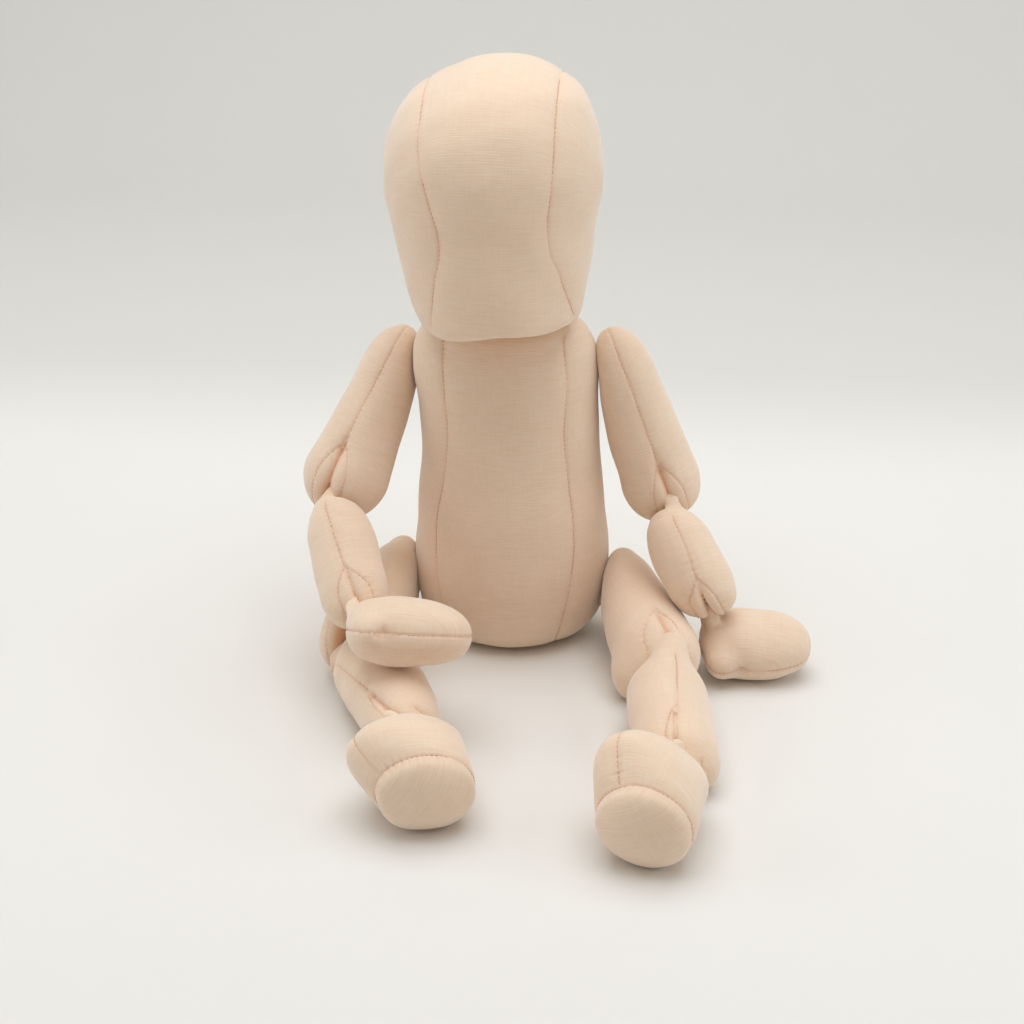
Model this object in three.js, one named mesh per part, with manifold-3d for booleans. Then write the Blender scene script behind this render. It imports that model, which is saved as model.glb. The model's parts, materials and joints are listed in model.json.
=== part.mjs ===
// A newborn posing doll, seated. Every stuffed segment is a cloth cover over a fibre filling.
// Neck, shoulders and hips turn on disc joints. Elbows, wrists, knees and ankles are forked ends
// that hold the flat cloth tongue of the next segment on a cross pin.
// Millimetres, +Z up, the doll faces -Y and +X is its left. The origin is the centre of the seat.

import * as THREE from 'three';
import { mergeVertices } from 'three/addons/utils/BufferGeometryUtils.js';
import Module from 'manifold-3d';

const wasm = await Module();
wasm.setup();

// Cloth, filling and joint hardware.
const CLOTH = 1.6;
const GAP = 0.4;
const FLOOR_CUT = 0.5;
const TONGUE_HALF_THICKNESS = 2.2;
const TONGUE_HALF_WIDTH = 9;
const FORK_SLOT = 5.4;
const FORK_DEPTH = 11.5;
const PIN_RADIUS = 1.8;
const PIN_HEAD_RADIUS = 6;
const PIN_HEAD = 2;
const STEM_RADIUS = 3;
const DISC = 3;
const WASHER = 2.5;
const NUT = 4;
const NUT_RADIUS = 6;

// Radius of the rounded fork at the end of each limb segment.
const ELBOW_RADIUS = 20.5;
const WRIST_RADIUS = 16.5;
const KNEE_RADIUS = 21;
const ANKLE_RADIUS = 17.5;

// Half thickness of the limbs: round the top, below it and at the middle, with the reach above the joint.
const UPPER_ARM = { top: 24, topHalf: 12.5, half: [15.5, 18.3] };
const THIGH = { top: 19, topHalf: 18, half: [20.5, 21.5] };
const FOREARM_HALF = 18;
const CALF_HALF = 18.3;

// Hands and feet.
const HAND_HALF_WIDTH = 19.5;
const HAND_HALF_THICKNESS = 14.5;
const THUMB_RADIUS = 7;
const FOOT_HALF_WIDTH = 23.5;
const SOLE_HALF_LENGTH = 28;
const SOLE_BULGE = 6;

// Torso and head: height along the axis, half width, half depth.
const TORSO_HEIGHT = 175;
const TORSO_POLE = 181;
const TORSO_PROFILE = [[22, 47.5, 45], [45, 50, 46.5], [95, 45.5, 40], [125, 45.5, 38.5], [150, 45, 36]];
const TORSO_AXIS = [[0, 0, -FLOOR_CUT], [0, 0, 60], [-1.5, 0, 115], [-4, 0, TORSO_POLE]];
const HEAD_PROFILE = [[18, 43, 48], [44, 48, 55], [70, 52.2, 57], [90, 51, 56], [104, 46, 50]];
const HEAD_AXIS = [[-4.5, -18, 175], [-6, -14, 198], [-8.3, -11, 243], [-6.5, -8, 285], [-7, -6.5, 305]];
const FULL_END = 3;

// Where the joints sit at rest, in the doll's frame. A fork faces along `faces`, and the tongue
// of the next segment leaves the pin towards `leaves`.
const NECK = new THREE.Vector3(-4, -6, TORSO_HEIGHT + GAP);
const SIDES = {
  left: {
    shoulder: { at: [55, 1.7, 146.5], plane: 43.6 },
    elbow: { at: [77.5, -4, 86.5], faces: [0.2, -0.95, 0.15], leaves: [0.1, -0.85, -0.5] },
    wrist: { at: [100.5, -45, 47.5], faces: [0, -0.6, 0.6], leaves: [0.1, 0.05, -1] },
    hand: { from: [101, -42, 15.1], to: [157, -42, 15.1], back: [0, -0.45, 0.89], thumb: 1 },
    hip: { at: [53, -6, 29], plane: 50.8 },
    knee: { at: [79.5, -66.5, 19.8], faces: [0.15, -0.2, 1], leaves: [-0.1, -1, 0] },
    ankle: { at: [89.5, -146, 16.9], faces: [0.45, -0.3, 0.9], leaves: [-0.25, -1, 0.1] },
    foot: { heart: [76, -193, 25.6], sole: [75, -222, 25.6], toe: [-0.45, -0.1, 0.9] },
  },
  right: {
    shoulder: { at: [-61.5, 5, 142], plane: -50.4 },
    elbow: { at: [-83, -28, 93], faces: [-0.1, -0.8, 0.4], leaves: [-0.2, -0.85, -0.48] },
    wrist: { at: [-69.5, -86, 57], faces: [-0.1, -0.7, 0.6], leaves: [0.05, -1, -0.05] },
    hand: { from: [-69, -116, 56], to: [-9, -116, 55], back: [0, 0.44, 0.9], thumb: 1 },
    hip: { at: [-53, -3, 29], plane: -50.8 },
    knee: { at: [-72, -63.5, 20.2], faces: [-0.15, -0.1, 1], leaves: [0.3, -0.95, 0] },
    ankle: { at: [-40, -136, 20], faces: [-0.1, -0.4, 0.9], leaves: [0.2, -1, -0.1] },
    foot: { heart: [-30, -181, 23.3], sole: [-23, -208, 23.3], toe: [-0.95, 0.1, 0.25] },
  },
};

// Facets round a stuffed form and round its inside.
const LIMB_SIDES = 12;
const BODY_SIDES = 20;
const INNER_SIDES = 8;
const HARDWARE_SIDES = 8;
const TURNING_SIDES = 20;

const CLOTH_COLOUR = 0xe6cbb1;
const FIBRE_COLOUR = 0xf2f0ea;
const PLASTIC_COLOUR = 0xe9e6dc;
const CLOTH_ROUGHNESS = 0.9;
const FIBRE_ROUGHNESS = 1;
const PLASTIC_ROUGHNESS = 0.4;

const doll = new THREE.Group();
doll.name = 'newborn_posing_doll';

function vector(list) {
  return new THREE.Vector3(...list);
}

// A group for a part that moves as one, set at the joint that it turns on.
function addBody(parent, at) {
  const body = new THREE.Group();
  body.position.copy(at);
  doll.add(body);
  parent.attach(body);
  return body;
}

// A named mesh of a solid. `matrix` places it in the doll's frame, and it then belongs to its body.
function addPiece(body, name, solid, colour, roughness, matrix = new THREE.Matrix4()) {
  const mesh = solid.getMesh();
  const geometry = new THREE.BufferGeometry();
  geometry.setAttribute('position', new THREE.BufferAttribute(mesh.vertProperties, 3));
  geometry.setIndex(new THREE.BufferAttribute(mesh.triVerts, 1));
  geometry.computeVertexNormals();
  const material = new THREE.MeshStandardMaterial({ color: colour, roughness, metalness: 0 });
  const piece = new THREE.Mesh(geometry, material);
  piece.name = name;
  piece.applyMatrix4(matrix);
  doll.add(piece);
  body.attach(piece);
}

// A solid of one of three.js's own closed geometries.
function solidOf(geometry) {
  geometry.deleteAttribute('normal');
  geometry.deleteAttribute('uv');
  const merged = mergeVertices(geometry, 1e-4);
  const mesh = new wasm.Mesh({
    numProp: 3,
    vertProperties: merged.attributes.position.array,
    triVerts: new Uint32Array(merged.index.array),
  });
  return new wasm.Manifold(mesh);
}

// A closed solid through rings of points, with a fan of triangles on each end.
function solidFromRings(rings, startPole, endPole) {
  const sides = rings[0].length;
  const points = [...rings.flat(), startPole, endPole];
  const faces = [];
  for (let ring = 0; ring < rings.length - 1; ring++) {
    for (let i = 0; i < sides; i++) {
      const a = ring * sides + i;
      const b = ring * sides + (i + 1) % sides;
      faces.push(a, b, b + sides, a, b + sides, a + sides);
    }
  }
  const start = points.length - 2;
  const last = (rings.length - 1) * sides;
  for (let i = 0; i < sides; i++) {
    const next = (i + 1) % sides;
    faces.push(start, next, i, start + 1, last + i, last + next);
  }
  const mesh = new wasm.Mesh({
    numProp: 3,
    vertProperties: new Float32Array(points.flatMap((p) => p.toArray())),
    triVerts: new Uint32Array(faces),
  });
  return new wasm.Manifold(mesh);
}

// A stuffed form round a curved axis. A station is [distance, half size along `across`, half size
// square to it], counted from the curve's start. The rings twist evenly towards `acrossEnd`, and
// `inset` shrinks them for what lies inside.
function stuffedForm({ axis, across, acrossEnd = across, stations, sides, inset = 0 }) {
  const length = axis.getLength();
  const rings = [];
  for (const [distance, halfAcross, halfDeep] of stations) {
    const u = THREE.MathUtils.clamp(distance / length, 0, 1);
    const centre = axis.getPointAt(u);
    const along = axis.getTangentAt(u);
    const turned = across.clone().lerp(acrossEnd, THREE.MathUtils.smoothstep(u, 0.3, 0.8));
    const first = turned.addScaledVector(along, -turned.dot(along)).normalize();
    const second = new THREE.Vector3().crossVectors(along, first);
    const ring = [];
    for (let i = 0; i < sides; i++) {
      const angle = (i / sides) * 2 * Math.PI;
      ring.push(centre.clone()
        .addScaledVector(first, (halfAcross - inset) * Math.cos(angle))
        .addScaledVector(second, (halfDeep - inset) * Math.sin(angle)));
    }
    rings.push(ring);
  }
  const startPole = axis.getPointAt(THREE.MathUtils.clamp(stations[0][0] / length, 0, 1));
  const endPole = axis.getPointAt(THREE.MathUtils.clamp(stations.at(-1)[0] / length, 0, 1));
  return solidFromRings(rings, startPole, endPole);
}

// Stations of a rounded end: from the full ring towards the pole, or back from it. A fullness
// of 2 gives a round end and more gives a flatter one.
function roundEnd(distance, reach, halfAcross, halfDeep, direction, steps = 3, fullness = 2) {
  const stations = [];
  for (let i = 1; i <= steps; i++) {
    const rise = Math.sin((i / steps) * THREE.MathUtils.degToRad(82));
    const size = (1 - rise ** fullness) ** (1 / fullness);
    stations.push([distance + direction * reach * rise, halfAcross * size, halfDeep * size]);
  }
  return direction < 0 ? stations.reverse() : stations;
}

// A matrix that puts local X on `across`, local Z on `along` and the origin at a point.
function placed(at, across, along) {
  const x = across.clone().normalize();
  const z = along.clone().addScaledVector(x, -along.dot(x)).normalize();
  const y = new THREE.Vector3().crossVectors(z, x);
  return new THREE.Matrix4().makeBasis(x, y, z).setPosition(at);
}

function moved(solid, matrix) {
  return solid.transform(matrix.toArray());
}

function box(x0, x1, y0, y1, z0, z1) {
  const geometry = new THREE.BoxGeometry(x1 - x0, y1 - y0, z1 - z0);
  return solidOf(geometry.translate((x0 + x1) / 2, (y0 + y1) / 2, (z0 + z1) / 2));
}

// A round bar along local X between two places.
function bar(x0, x1, radius) {
  const geometry = new THREE.CylinderGeometry(radius, radius, x1 - x0, HARDWARE_SIDES);
  return solidOf(geometry.rotateZ(Math.PI / 2).translate((x0 + x1) / 2, 0, 0));
}

function ball(at, radius, sides) {
  const geometry = new THREE.SphereGeometry(radius, sides, sides / 2);
  return solidOf(geometry.translate(at.x, at.y, at.z));
}

const torsoBody = addBody(doll, new THREE.Vector3());
const FLOOR = box(-400, 400, -500, 300, -60, 0);

// Forked end: the slot, the cavity's share of it, the pin with its washer and their pockets, all in a
// frame with the pin along X and the limb running towards -Z.
const HEAD_FROM = FORK_SLOT / 2 + CLOTH + GAP;
const HEAD_TO = HEAD_FROM + PIN_HEAD;
const FORK = {
  slot: box(-FORK_SLOT / 2, FORK_SLOT / 2, -40, 40, -40, FORK_DEPTH),
  wall: box(-FORK_SLOT / 2 - CLOTH, FORK_SLOT / 2 + CLOTH, -40, 40, -40, FORK_DEPTH + CLOTH),
  filled: box(-HEAD_FROM, HEAD_FROM, -40, 40, -40, FORK_DEPTH + CLOTH + GAP),
  hole: bar(-HEAD_TO - 1, HEAD_TO + 1, PIN_RADIUS + GAP),
  pockets: bar(-HEAD_TO - GAP, HEAD_TO + GAP, PIN_HEAD_RADIUS + GAP)
    .add(bar(0, HEAD_TO + 2 + GAP, PIN_RADIUS + GAP)),
  pin: bar(-HEAD_FROM - 0.1, HEAD_TO + 2, PIN_RADIUS).add(bar(-HEAD_TO, -HEAD_FROM, PIN_HEAD_RADIUS)),
  washer: bar(HEAD_FROM, HEAD_TO, PIN_HEAD_RADIUS - 0.5).subtract(bar(0, 20, PIN_RADIUS + GAP)),
};

// Disc joint along local X: x = 0 is the limb's flat face, the torso lies towards -X.
function discJoint(discRadius, washerAt) {
  const stemEnd = washerAt - WASHER - NUT - 2;
  const discFrom = CLOTH + GAP;
  const nutAt = washerAt - WASHER - GAP;
  const bore = bar(-60, 60, STEM_RADIUS + GAP);
  return {
    stem: bar(stemEnd, discFrom + 0.1, STEM_RADIUS).add(bar(discFrom, discFrom + DISC, discRadius)),
    washer: bar(washerAt - WASHER, washerAt, discRadius).subtract(bore),
    nut: bar(nutAt - NUT, nutAt, NUT_RADIUS).subtract(bore),
    hole: bar(stemEnd - 2, discFrom, STEM_RADIUS + GAP),
    limbRoom: bar(CLOTH, discFrom + DISC + 5, discRadius + GAP),
    limbPocket: bar(-20, discFrom + DISC + GAP, discRadius + GAP),
    torsoPocket: bar(stemEnd - GAP, 20, discRadius + GAP),
    face: box(-80, 0, -90, 90, -90, 90),
    limbWall: box(-80, CLOTH, -90, 90, -90, 90),
    limbFilled: box(-80, CLOTH + GAP, -90, 90, -90, 90),
  };
}

function addCover(body, name, solid) {
  addPiece(body, name + '_cover', solid, CLOTH_COLOUR, CLOTH_ROUGHNESS);
}

function addFilling(body, name, solid) {
  addPiece(body, name + '_stuffing', solid, FIBRE_COLOUR, FIBRE_ROUGHNESS);
}

function addHardware(body, name, solid, matrix) {
  addPiece(body, name, solid, PLASTIC_COLOUR, PLASTIC_ROUGHNESS, matrix);
}

function addFork(body, name, matrix) {
  addHardware(body, name + '_pin', FORK.pin, matrix);
  addHardware(body, name + '_pin_washer', FORK.washer, matrix);
}

// The disc and its nut turn with the limb or head, and the washer disc stays in the torso.
function addDiscJoint(body, name, joint, matrix) {
  addHardware(body, name + '_disc', joint.stem, matrix);
  addHardware(torsoBody, name + '_washer_disc', joint.washer, matrix);
  addHardware(body, name + '_lock_nut', joint.nut, matrix);
}

function curve(points) {
  const path = new THREE.CatmullRomCurve3(points, false, 'centripetal');
  path.arcLengthDivisions = 400;
  return path;
}

// Outside, cavity and filling of one form, cut level where it lies on the floor.
function layers({ inner, ...form }) {
  const packed = inner.map((station) => [...station]);
  packed[0][0] += GAP;
  packed.at(-1)[0] -= GAP;
  const hollow = { ...form, stations: inner, sides: INNER_SIDES, inset: CLOTH + 0.3 };
  const fibre = { ...hollow, stations: packed, inset: CLOTH + 0.3 + GAP };
  return {
    outside: stuffedForm(form).subtract(FLOOR),
    cavity: stuffedForm(hollow).subtract(FLOOR.translate([0, 0, CLOTH])),
    filling: stuffedForm(fibre).subtract(FLOOR.translate([0, 0, CLOTH + GAP])),
  };
}

// Frame of the fork at a joint: the pin lies square to the limb and to the way the fork faces.
function forkMatrix(joint, towards) {
  const pinAxis = new THREE.Vector3().crossVectors(towards, vector(joint.faces)).normalize();
  return placed(vector(joint.at), pinAxis, towards.clone().negate());
}

// Direction in which a tongue leaves its pin, kept in the plane of the fork.
function tongueDirection(joint, fork) {
  const pinAxis = new THREE.Vector3().setFromMatrixColumn(fork, 0);
  const leaves = vector(joint.leaves);
  return leaves.addScaledVector(pinAxis, -leaves.dot(pinAxis)).normalize();
}

// Stations of a cloth tongue from its round tip to the place where the form begins to swell.
// The pin is TONGUE_HALF_WIDTH from the tip.
function tongueStations(neck) {
  const tip = roundEnd(TONGUE_HALF_WIDTH, TONGUE_HALF_WIDTH, 1, TONGUE_HALF_WIDTH, -1, 3)
    .map(([distance, , deep]) => [distance, TONGUE_HALF_THICKNESS, deep]);
  const flat = [0, neck].map((d) => [TONGUE_HALF_WIDTH + d, TONGUE_HALF_THICKNESS, TONGUE_HALF_WIDTH]);
  return [...tip, ...flat];
}

// How far along a curve its point of a given index lies.
function distanceTo(path, index) {
  const lengths = path.getLengths(path.arcLengthDivisions);
  return lengths[Math.round((index / (path.points.length - 1)) * path.arcLengthDivisions)];
}

// A limb that hangs on a disc joint and ends in a fork: upper arm or thigh.
function addDiscLimb({ name, root, end, shape, endRadius, joint }) {
  const { top, topHalf, half } = shape;
  const start = vector(root.at);
  const body = addBody(torsoBody, start);
  const pin = vector(end.at);
  const towards = pin.clone().sub(start).normalize();
  const axis = curve([
    start.clone().addScaledVector(towards, -top),
    start,
    pin,
    pin.clone().addScaledVector(towards, endRadius),
  ]);
  const pinAt = distanceTo(axis, 2);
  const fork = forkMatrix(end, towards);
  const across = new THREE.Vector3().setFromMatrixColumn(fork, 0);
  const middle = [
    [top, half[0], half[0]],
    [(top + pinAt) / 2, half[1], half[1]],
    [pinAt, endRadius, endRadius],
  ];
  const form = layers({
    axis,
    across,
    sides: LIMB_SIDES,
    stations: [
      ...roundEnd(topHalf, topHalf, topHalf, topHalf, -1),
      [topHalf, topHalf, topHalf],
      ...middle,
      ...roundEnd(pinAt, endRadius, endRadius, endRadius, 1),
    ],
    inner: [
      [topHalf * 0.5, topHalf * 0.8, topHalf * 0.8],
      ...middle,
      [pinAt + endRadius * 0.6, endRadius * 0.75, endRadius * 0.75],
    ],
  });
  const outward = new THREE.Vector3(Math.sign(root.plane), 0, 0);
  const disc = placed(new THREE.Vector3(root.plane, start.y, start.z), outward, new THREE.Vector3(0, 0, 1));
  const cavity = form.cavity
    .subtract(moved(joint.limbWall, disc))
    .add(moved(joint.limbRoom, disc))
    .subtract(moved(FORK.wall, fork));
  addCover(body, name, form.outside
    .subtract(moved(joint.face, disc))
    .subtract(moved(FORK.slot, fork))
    .subtract(cavity)
    .subtract(moved(joint.hole, disc))
    .subtract(moved(FORK.hole, fork)));
  addFilling(body, name, form.filling
    .subtract(moved(joint.limbFilled, disc))
    .subtract(moved(joint.limbPocket, disc))
    .subtract(moved(FORK.filled, fork))
    .subtract(moved(FORK.pockets, fork)));
  return { body, fork, disc };
}

// The round space that a fork needs to turn in, taken out of the next segment.
function turningSpace(joint, radius) {
  return ball(vector(joint.at), radius + GAP * 2, TURNING_SIDES);
}

// The tongue of a segment: a flat tab from its round tip to `reach` beyond the pin.
function tongueTab(pin, leaves, across, reach) {
  const axis = curve([
    pin.clone().addScaledVector(leaves, -TONGUE_HALF_WIDTH),
    pin,
    pin.clone().addScaledVector(leaves, reach),
  ]);
  return stuffedForm({ axis, across, stations: tongueStations(reach), sides: LIMB_SIDES });
}

// A segment that hangs by a tongue and ends in a fork: forearm or calf.
function addTongueLimb({ name, parent, root, rootFork, rootRadius, end, half, endRadius }) {
  const body = addBody(parent, vector(root.at));
  const across = new THREE.Vector3().setFromMatrixColumn(rootFork, 0);
  const leaves = tongueDirection(root, rootFork);
  const start = vector(root.at);
  const neck = start.clone().addScaledVector(leaves, rootRadius);
  const pin = vector(end.at);
  const towards = pin.clone().sub(neck).normalize();
  const axis = curve([neck, pin, pin.clone().addScaledVector(towards, endRadius)]);
  const pinAt = distanceTo(axis, 1);
  const fork = forkMatrix(end, towards);
  const middle = [
    [10, half * 0.86, half * 0.94],
    [20, half, half],
    [pinAt, endRadius, endRadius],
  ];
  const form = layers({
    axis,
    across,
    acrossEnd: new THREE.Vector3().setFromMatrixColumn(fork, 0),
    sides: LIMB_SIDES,
    stations: [
      [0, TONGUE_HALF_THICKNESS + 1.5, TONGUE_HALF_WIDTH],
      [4, half * 0.58, half * 0.74],
      ...middle,
      ...roundEnd(pinAt, endRadius, endRadius, endRadius, 1),
    ],
    inner: [
      [5, half * 0.5, half * 0.7],
      ...middle.slice(1),
      [pinAt + endRadius * 0.6, endRadius * 0.75, endRadius * 0.75],
    ],
  });
  addCover(body, name, form.outside
    .subtract(turningSpace(root, rootRadius))
    .add(tongueTab(start, leaves, across, rootRadius + 4))
    .subtract(moved(FORK.slot, fork))
    .subtract(form.cavity
      .subtract(turningSpace(root, rootRadius + CLOTH))
      .subtract(moved(FORK.wall, fork)))
    .subtract(moved(FORK.hole, rootFork))
    .subtract(moved(FORK.hole, fork)));
  addFilling(body, name, form.filling
    .subtract(turningSpace(root, rootRadius + CLOTH + GAP))
    .subtract(moved(FORK.filled, fork))
    .subtract(moved(FORK.pockets, fork)));
  return { body, fork };
}

// The flat way through a tongue, from the pin hole into the cavity of a hand or foot.
function tongueChannel(pin, leaves, across, reach) {
  const channel = box(-0.6, 0.6, -3, 3, -reach, 0);
  return moved(channel, placed(pin, across, leaves.clone().negate()));
}

// A mitten on a tongue. It lies along its own line, thumb to one side.
function addHand({ name, parent, wrist, fork, hand }) {
  const body = addBody(parent, vector(wrist.at));
  const pinAxis = new THREE.Vector3().setFromMatrixColumn(fork, 0);
  const leaves = tongueDirection(wrist, fork);
  const pin = vector(wrist.at);
  const from = vector(hand.from);
  const to = vector(hand.to);
  const axis = curve([from, from.clone().lerp(to, 0.5), to]);
  const length = axis.getLength();
  const back = vector(hand.back).normalize();
  const across = new THREE.Vector3().crossVectors(to.clone().sub(from), back).normalize();
  const middle = [
    [length * 0.28, HAND_HALF_WIDTH * 0.87, HAND_HALF_THICKNESS * 0.95],
    [length * 0.55, HAND_HALF_WIDTH, HAND_HALF_THICKNESS],
    [length * 0.68, HAND_HALF_WIDTH * 0.95, HAND_HALF_THICKNESS * 0.95],
  ];
  const start = middle[0];
  const finish = middle[2];
  const form = layers({
    axis,
    across,
    sides: LIMB_SIDES,
    stations: [
      ...roundEnd(start[0], start[0], start[1], start[2], -1),
      ...middle,
      ...roundEnd(finish[0], length - finish[0], finish[1], finish[2], 1),
    ],
    inner: [
      [length * 0.1, start[1] * 0.62, start[2] * 0.62],
      ...middle,
      [length * 0.9, finish[1] * 0.6, finish[2] * 0.6],
    ],
  });
  const thumbAt = from.clone().lerp(to, 0.3).addScaledVector(across, hand.thumb * HAND_HALF_WIDTH * 0.8);
  const reach = pin.distanceTo(from.clone().lerp(to, 0.2));
  const inside = form.cavity.subtract(turningSpace(wrist, WRIST_RADIUS + CLOTH));
  addCover(body, name, form.outside
    .add(ball(thumbAt, THUMB_RADIUS, LIMB_SIDES))
    .subtract(turningSpace(wrist, WRIST_RADIUS))
    .add(tongueTab(pin, leaves, pinAxis, reach - 6))
    .subtract(FLOOR)
    .subtract(inside)
    .subtract(tongueChannel(pin, leaves, pinAxis, reach))
    .subtract(moved(FORK.hole, fork)));
  addFilling(body, name, form.filling.subtract(turningSpace(wrist, WRIST_RADIUS + CLOTH + GAP)));
}

// A foot on a tongue: it widens to an oval sole whose long way points to the toes.
function addFoot({ name, parent, ankle, fork, foot }) {
  const body = addBody(parent, vector(ankle.at));
  const pinAxis = new THREE.Vector3().setFromMatrixColumn(fork, 0);
  const leaves = tongueDirection(ankle, fork);
  const pin = vector(ankle.at);
  const neck = pin.clone().addScaledVector(leaves, ANKLE_RADIUS);
  const heart = vector(foot.heart);
  const sole = vector(foot.sole);
  const axis = curve([neck, heart, sole]);
  const length = axis.getLength();
  const forward = sole.clone().sub(heart).normalize();
  const acrossEnd = new THREE.Vector3().crossVectors(vector(foot.toe), forward).normalize();
  if (acrossEnd.dot(pinAxis) < 0) {
    acrossEnd.negate();
  }
  const full = [length - SOLE_BULGE, FOOT_HALF_WIDTH * 0.97, SOLE_HALF_LENGTH * 0.97];
  const middle = [
    [14, FOOT_HALF_WIDTH * 0.8, SOLE_HALF_LENGTH * 0.72],
    [length * 0.55, FOOT_HALF_WIDTH, SOLE_HALF_LENGTH * 0.92],
    [length * 0.78, FOOT_HALF_WIDTH, SOLE_HALF_LENGTH],
  ];
  const form = layers({
    axis,
    across: pinAxis,
    acrossEnd,
    sides: LIMB_SIDES + 2,
    stations: [
      [0, TONGUE_HALF_THICKNESS + 1.5, TONGUE_HALF_WIDTH],
      [5, FOOT_HALF_WIDTH * 0.55, SOLE_HALF_LENGTH * 0.5],
      ...middle,
      full,
      ...roundEnd(full[0], SOLE_BULGE, full[1], full[2], 1, 3),
    ],
    inner: [
      [5.5, FOOT_HALF_WIDTH * 0.5, SOLE_HALF_LENGTH * 0.48],
      ...middle,
      [length - SOLE_BULGE * 0.9, full[1] * 0.92, full[2] * 0.92],
    ],
  });
  addCover(body, name, form.outside
    .subtract(turningSpace(ankle, ANKLE_RADIUS))
    .add(tongueTab(pin, leaves, pinAxis, ANKLE_RADIUS + 4))
    .subtract(form.cavity.subtract(turningSpace(ankle, ANKLE_RADIUS + CLOTH)))
    .subtract(tongueChannel(pin, leaves, pinAxis, ANKLE_RADIUS + 12))
    .subtract(moved(FORK.hole, fork)));
  addFilling(body, name, form.filling.subtract(turningSpace(ankle, ANKLE_RADIUS + CLOTH + GAP)));
}

const SHOULDER_JOINT = discJoint(8, -11.5);
const HIP_JOINT = discJoint(11, -12);
const NECK_JOINT = discJoint(10, -7);
const torsoCuts = [];

for (const [side, rest] of Object.entries(SIDES)) {
  const arm = addDiscLimb({
    name: side + '_upper_arm',
    root: rest.shoulder,
    end: rest.elbow,
    shape: UPPER_ARM,
    endRadius: ELBOW_RADIUS,
    joint: SHOULDER_JOINT,
  });
  addDiscJoint(arm.body, side + '_shoulder', SHOULDER_JOINT, arm.disc);
  addFork(arm.body, side + '_elbow', arm.fork);
  const forearm = addTongueLimb({
    name: side + '_forearm',
    parent: arm.body,
    root: rest.elbow,
    rootFork: arm.fork,
    rootRadius: ELBOW_RADIUS,
    end: rest.wrist,
    half: FOREARM_HALF,
    endRadius: WRIST_RADIUS,
  });
  addFork(forearm.body, side + '_wrist', forearm.fork);
  addHand({
    name: side + '_hand',
    parent: forearm.body,
    wrist: rest.wrist,
    fork: forearm.fork,
    hand: rest.hand,
  });

  const leg = addDiscLimb({
    name: side + '_thigh',
    root: rest.hip,
    end: rest.knee,
    shape: THIGH,
    endRadius: KNEE_RADIUS,
    joint: HIP_JOINT,
  });
  addDiscJoint(leg.body, side + '_hip', HIP_JOINT, leg.disc);
  addFork(leg.body, side + '_knee', leg.fork);
  const calf = addTongueLimb({
    name: side + '_calf',
    parent: leg.body,
    root: rest.knee,
    rootFork: leg.fork,
    rootRadius: KNEE_RADIUS,
    end: rest.ankle,
    half: CALF_HALF,
    endRadius: ANKLE_RADIUS,
  });
  addFork(calf.body, side + '_ankle', calf.fork);
  addFoot({
    name: side + '_foot',
    parent: calf.body,
    ankle: rest.ankle,
    fork: calf.fork,
    foot: rest.foot,
  });
  torsoCuts.push([SHOULDER_JOINT, arm.disc], [HIP_JOINT, leg.disc]);
}

// Stations of a body that follows a profile and is rounded at both ends.
function bodyStations(profile, pole, steps) {
  const outline = new THREE.CatmullRomCurve3(profile.map(vector));
  const stations = outline.getPoints(steps).map((p) => p.toArray());
  const first = stations[0];
  const last = stations.at(-1);
  return [
    ...roundEnd(first[0], first[0], first[1], first[2], -1, 4, FULL_END),
    ...stations,
    ...roundEnd(last[0], pole - last[0], last[1], last[2], 1, 4),
  ];
}

// The part of a body's stations that its inside follows.
function innerStations(profile, pole) {
  const outline = new THREE.CatmullRomCurve3(profile.map(vector));
  const stations = outline.getPoints(5).map((p) => p.toArray());
  const first = stations[0];
  const last = stations.at(-1);
  const reach = pole - last[0];
  return [
    [first[0] * 0.3, first[1] * 0.68, first[2] * 0.68],
    ...stations,
    [last[0] + reach * 0.65, last[1] * 0.72, last[2] * 0.72],
  ];
}

const SIDEWAYS = new THREE.Vector3(1, 0, 0);
const neckDisc = placed(NECK, new THREE.Vector3(0, 0, 1), SIDEWAYS);

const headBody = addBody(torsoBody, NECK);
const headAxis = curve(HEAD_AXIS.map(vector));
const headPole = headAxis.getLength();
const head = layers({
  axis: headAxis,
  across: SIDEWAYS,
  sides: BODY_SIDES,
  stations: bodyStations(HEAD_PROFILE, headPole, 7),
  inner: innerStations(HEAD_PROFILE, headPole),
});
addCover(headBody, 'head', head.outside
  .subtract(moved(NECK_JOINT.face, neckDisc))
  .subtract(head.cavity.subtract(moved(NECK_JOINT.limbWall, neckDisc)))
  .subtract(moved(NECK_JOINT.limbRoom, neckDisc))
  .subtract(moved(NECK_JOINT.hole, neckDisc)));
addFilling(headBody, 'head', head.filling
  .subtract(moved(NECK_JOINT.limbFilled, neckDisc))
  .subtract(moved(NECK_JOINT.limbPocket, neckDisc)));
addDiscJoint(headBody, 'neck', NECK_JOINT, neckDisc);
torsoCuts.push([NECK_JOINT, neckDisc]);

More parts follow.
